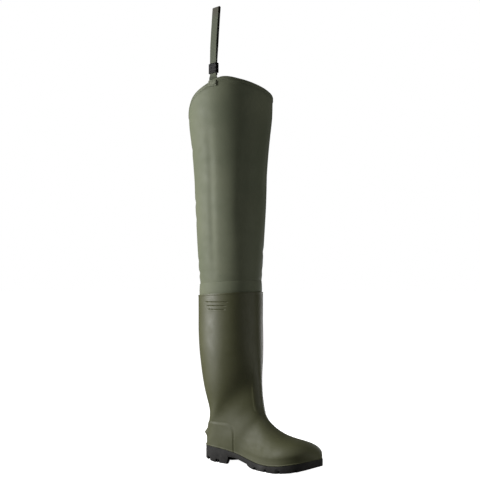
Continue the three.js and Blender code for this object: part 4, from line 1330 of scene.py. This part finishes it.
def needled_felt(add, place):
    """Needled felt sock: matt and fibrous."""
    fibres = add("TexNoise", {
        "Vector": place, "Scale": grain(1.4), "Detail": 8, "Roughness": 0.75})
    colour = add("Mix", {0: fibres, 6: tint("felt"), 7: tint("lining")}, 2, data_type="RGBA")
    relief = add("Bump", {"Height": fibres, "Distance": 0.5 * MM, "Strength": 0.8})
    return add("BsdfPrincipled", {
        "Base Color": colour, "Roughness": 0.95, "Normal": relief, "IOR": 1.5})


def moulded_acetal(add, place):
    """Acetal from a polished tool: black with a low gloss."""
    flow = add("TexNoise", {"Vector": place, "Scale": grain(1), "Detail": 2, "Roughness": 0.55})
    rough = add("MapRange", {
        "Value": flow, "From Min": 0.3, "From Max": 0.7, "To Min": 0.42, "To Max": 0.54})
    relief = add("Bump", {"Height": flow, "Distance": 0.03 * MM, "Strength": 0.4})
    return add("BsdfPrincipled", {
        "Base Color": tint("slide"), "Roughness": rough, "Normal": relief, "IOR": 1.48,
        "Specular IOR Level": 0.08})


def spun_thread(add, place):
    """Polyester thread, spun and twisted: dull, with its plies as a fine mottle."""
    twist = add("TexNoise", {"Vector": place, "Scale": grain(0.6), "Detail": 1, "Roughness": 0.55})
    colour = add("Mix", {0: twist, 6: tint("thread"), 7: tint("fabric_pale")}, 2, data_type="RGBA")
    relief = add("Bump", {"Height": twist, "Distance": 0.1 * MM, "Strength": 0.5})
    return add("BsdfPrincipled", {
        "Base Color": colour, "Roughness": 0.7, "Normal": relief, "IOR": 1.5})


def painted_floor(add, place):
    """Matt white paint of the studio floor, lit to the backdrop's white. It throws little light
    back on the wader, as behind black flags."""
    rolled = add("TexNoise", {"Vector": place, "Scale": grain(3), "Detail": 2, "Roughness": 0.55})
    relief = add("Bump", {"Height": rolled, "Distance": 0.02 * MM, "Strength": 0.2})
    paint = add("BsdfPrincipled", {
        "Base Color": tint("floor"), "Roughness": 0.9, "Normal": relief,
        "Emission Color": WHITE, "Emission Strength": 1.0})
    flags = add("BsdfDiffuse", {"Color": tint("flags")})
    seen = add("LightPath", {}, "Is Camera Ray")
    return add("MixShader", {0: seen, 1: flags, 2: paint})


# Operators

class WADER_OT_boot(bpy.types.Operator):
    """Build the moulded boot with its counter, instep strip, grooves and heel ledge"""
    bl_idname = "wader.boot"
    bl_label = "Boot"

    def execute(self, context):
        new_piece("boot_shell", boot_shell(), [material_of(moulded_pvc)], ["boot"])
        return {"FINISHED"}


class WADER_OT_sole(bpy.types.Operator):
    """Build the outsole with its moulded edges, and give the insole its felt"""
    bl_idname = "wader.sole"
    bl_label = "Sole"

    def execute(self, context):
        rubber_sole()
        sock = bpy.data.objects["insole"]
        sock.data.materials.clear()
        sock.data.materials.append(material_of(needled_felt))
        return {"FINISHED"}


class WADER_OT_leg(bpy.types.Operator):
    """Build the fabric leg with its creases and hem, and the band over its joint"""
    bl_idname = "wader.leg"
    bl_label = "Fabric leg"

    def execute(self, context):
        faces = [material_of(coated_fabric), material_of(nylon_lining)]
        new_piece("fabric_leg", fabric_leg(), faces, ["thigh"])
        new_piece("weld_band", weld_band(), faces[:1], ["shaft_band"])
        return {"FINISHED"}


class WADER_OT_strap(bpy.types.Operator):
    """Build the hanging loop, its slide and the tab that holds it"""
    bl_idname = "wader.strap"
    bl_label = "Hanging loop"

    def execute(self, context):
        webbing = ribbon(strap_route(), mm("webbing_width"), mm("webbing"))
        new_piece("hanging_loop", webbing, [material_of(woven_webbing)], ["strap"])
        acetal, lining = material_of(moulded_acetal), material_of(nylon_lining)
        body = new_piece("loop_slide", slide(), [acetal], ["strap_buckle"])
        fused(body)
        new_piece("collar_tab", collar_tab(), [lining], ["strap_tab"])
        return {"FINISHED"}


class WADER_OT_stitches(bpy.types.Operator):
    """Sew the hem and the tab"""
    bl_idname = "wader.stitches"
    bl_label = "Stitches"

    def execute(self, context):
        new_piece("stitches", stitches(), [material_of(spun_thread)], (), sharp=80)
        return {"FINISHED"}


# The studio, in metres. The floor is a disc a little under the sole.
FLOOR_RADIUS = 30.0
FLOOR_UNDER = 0.0005
AIM_HEIGHT = 0.45
WORLD_LIGHT = 0.05

# The camera looks along this direction in plan, from the outer side and a little from the front.
VIEW_TURN = math.radians(40)
CAMERA_DISTANCE = 2.05
CAMERA_ASIDE = 0.021
CAMERA_HEIGHT = 0.4
CAMERA_PITCH = math.radians(1.38)
SHIFT_PIXELS = 17.4
FOCAL_PIXELS = 921
IMAGE_WIDTH = 480
SENSOR = 36.0

# Soft boxes: bearing from the camera's direction (positive to the right), height and distance in
# metres, width and height in metres, and power in watts.
LIGHTS = rows(
    "name bearing high away wide tall power",
    ("left_box", -88, 0.74, 1.6, 0.4, 1.5, 47),
    ("front_fill", 42, 0.3, 1.3, 1.7, 0.6, 2.6),
    ("toe_box", 66, 0.16, 0.6, 0.3, 0.3, 0.3),
    ("right_rim", 140, 0.12, 0.7, 0.3, 0.5, 1.9),
    ("top_box", 45, 1.9, 0.6, 0.7, 0.7, 3.8),
)


class WADER_OT_studio(bpy.types.Operator):
    """Set up the floor, the soft boxes, the backdrop's light and the camera"""
    bl_idname = "wader.studio"
    bl_label = "Studio"

    def execute(self, context):
        scene = context.scene
        maker = bmesh.new()
        bmesh.ops.create_circle(maker, cap_ends=True, segments=96, radius=FLOOR_RADIUS)
        mesh = bpy.data.meshes.new("studio_floor")
        maker.to_mesh(mesh)
        maker.free()
        mesh.materials.append(material_of(painted_floor))
        floor = bpy.data.objects.new("studio_floor", mesh)
        floor.location.z = -FLOOR_UNDER
        scene.collection.objects.link(floor)

        right = Vector((math.cos(VIEW_TURN), math.sin(VIEW_TURN), 0))
        near = outwards(VIEW_TURN)
        up = Vector((0, 0, 1))
        for row in LIGHTS:
            turn = math.radians(row["bearing"])
            light = bpy.data.lights.new(row["name"], "AREA")
            light.shape = "RECTANGLE"
            light.size, light.size_y = row["wide"], row["tall"]
            light.energy = row["power"]
            lamp = bpy.data.objects.new(row["name"], light)
            aside = right * math.sin(turn) + near * math.cos(turn)
            lamp.location = aside * row["away"] + up * row["high"]
            aim = SHAFT_AXIS + up * AIM_HEIGHT - lamp.location
            lamp.rotation_euler = aim.to_track_quat("-Z", "Y").to_euler()
            lamp.visible_camera = False
            scene.collection.objects.link(lamp)

        world = bpy.data.worlds.new("studio")
        world.use_nodes = True
        world.node_tree.nodes.clear()
        sky, paper = (add_node(world, "Background", {"Color": WHITE, "Strength": strength})
                      for strength in (WORLD_LIGHT, 1.0))
        seen = add_node(world, "LightPath", {}, "Is Camera Ray")
        both = add_node(world, "MixShader", {0: seen, 1: sky, 2: paper})
        add_node(world, "OutputWorld", {"Surface": both})
        scene.world = world
        scene.view_settings.view_transform = "Standard"

        camera = bpy.data.cameras.new("camera")
        camera.sensor_width = SENSOR
        camera.lens = SENSOR * FOCAL_PIXELS / IMAGE_WIDTH
        camera.shift_y = SHIFT_PIXELS / IMAGE_WIDTH
        eye = bpy.data.objects.new("camera", camera)
        eye.location = SHAFT_AXIS + right * CAMERA_ASIDE + near * CAMERA_DISTANCE + up * CAMERA_HEIGHT
        ahead = -near * math.cos(CAMERA_PITCH) + up * math.sin(CAMERA_PITCH)
        eye.rotation_euler = ahead.to_track_quat("-Z", "Y").to_euler()
        scene.collection.objects.link(eye)
        scene.camera = eye
        return {"FINISHED"}


class WADER_PT_sidebar(bpy.types.Panel):
    """The wader's pieces, sizes and colours"""
    bl_label = "Hip Wader"
    bl_idname = "WADER_PT_sidebar"
    bl_space_type = "VIEW_3D"
    bl_region_type = "UI"
    bl_category = "Wader"

    def draw(self, context):
        for operator in OPERATORS:
            self.layout.operator(operator.bl_idname)
        for group in (context.scene.wader_sizes, context.scene.wader_colours):
            box = self.layout.box()
            for name in group.__annotations__:
                box.prop(group, name)


OPERATORS = (
    WADER_OT_boot, WADER_OT_sole, WADER_OT_leg, WADER_OT_strap, WADER_OT_stitches, WADER_OT_studio)
CLASSES = (WaderSizes, WaderColours, *OPERATORS, WADER_PT_sidebar)


def register():
    for kind in CLASSES:
        bpy.utils.register_class(kind)
    bpy.types.Scene.wader_sizes = bpy.props.PointerProperty(type=WaderSizes)
    bpy.types.Scene.wader_colours = bpy.props.PointerProperty(type=WaderColours)


def unregister():
    del bpy.types.Scene.wader_colours
    del bpy.types.Scene.wader_sizes
    for kind in reversed(CLASSES):
        bpy.utils.unregister_class(kind)


def main():
    """Builds every piece and the studio."""
    register()
    bpy.ops.wader.boot()
    bpy.ops.wader.sole()
    bpy.ops.wader.leg()
    bpy.ops.wader.strap()
    bpy.ops.wader.stitches()
    bpy.ops.wader.studio()


if __name__ == "__main__":
    main()
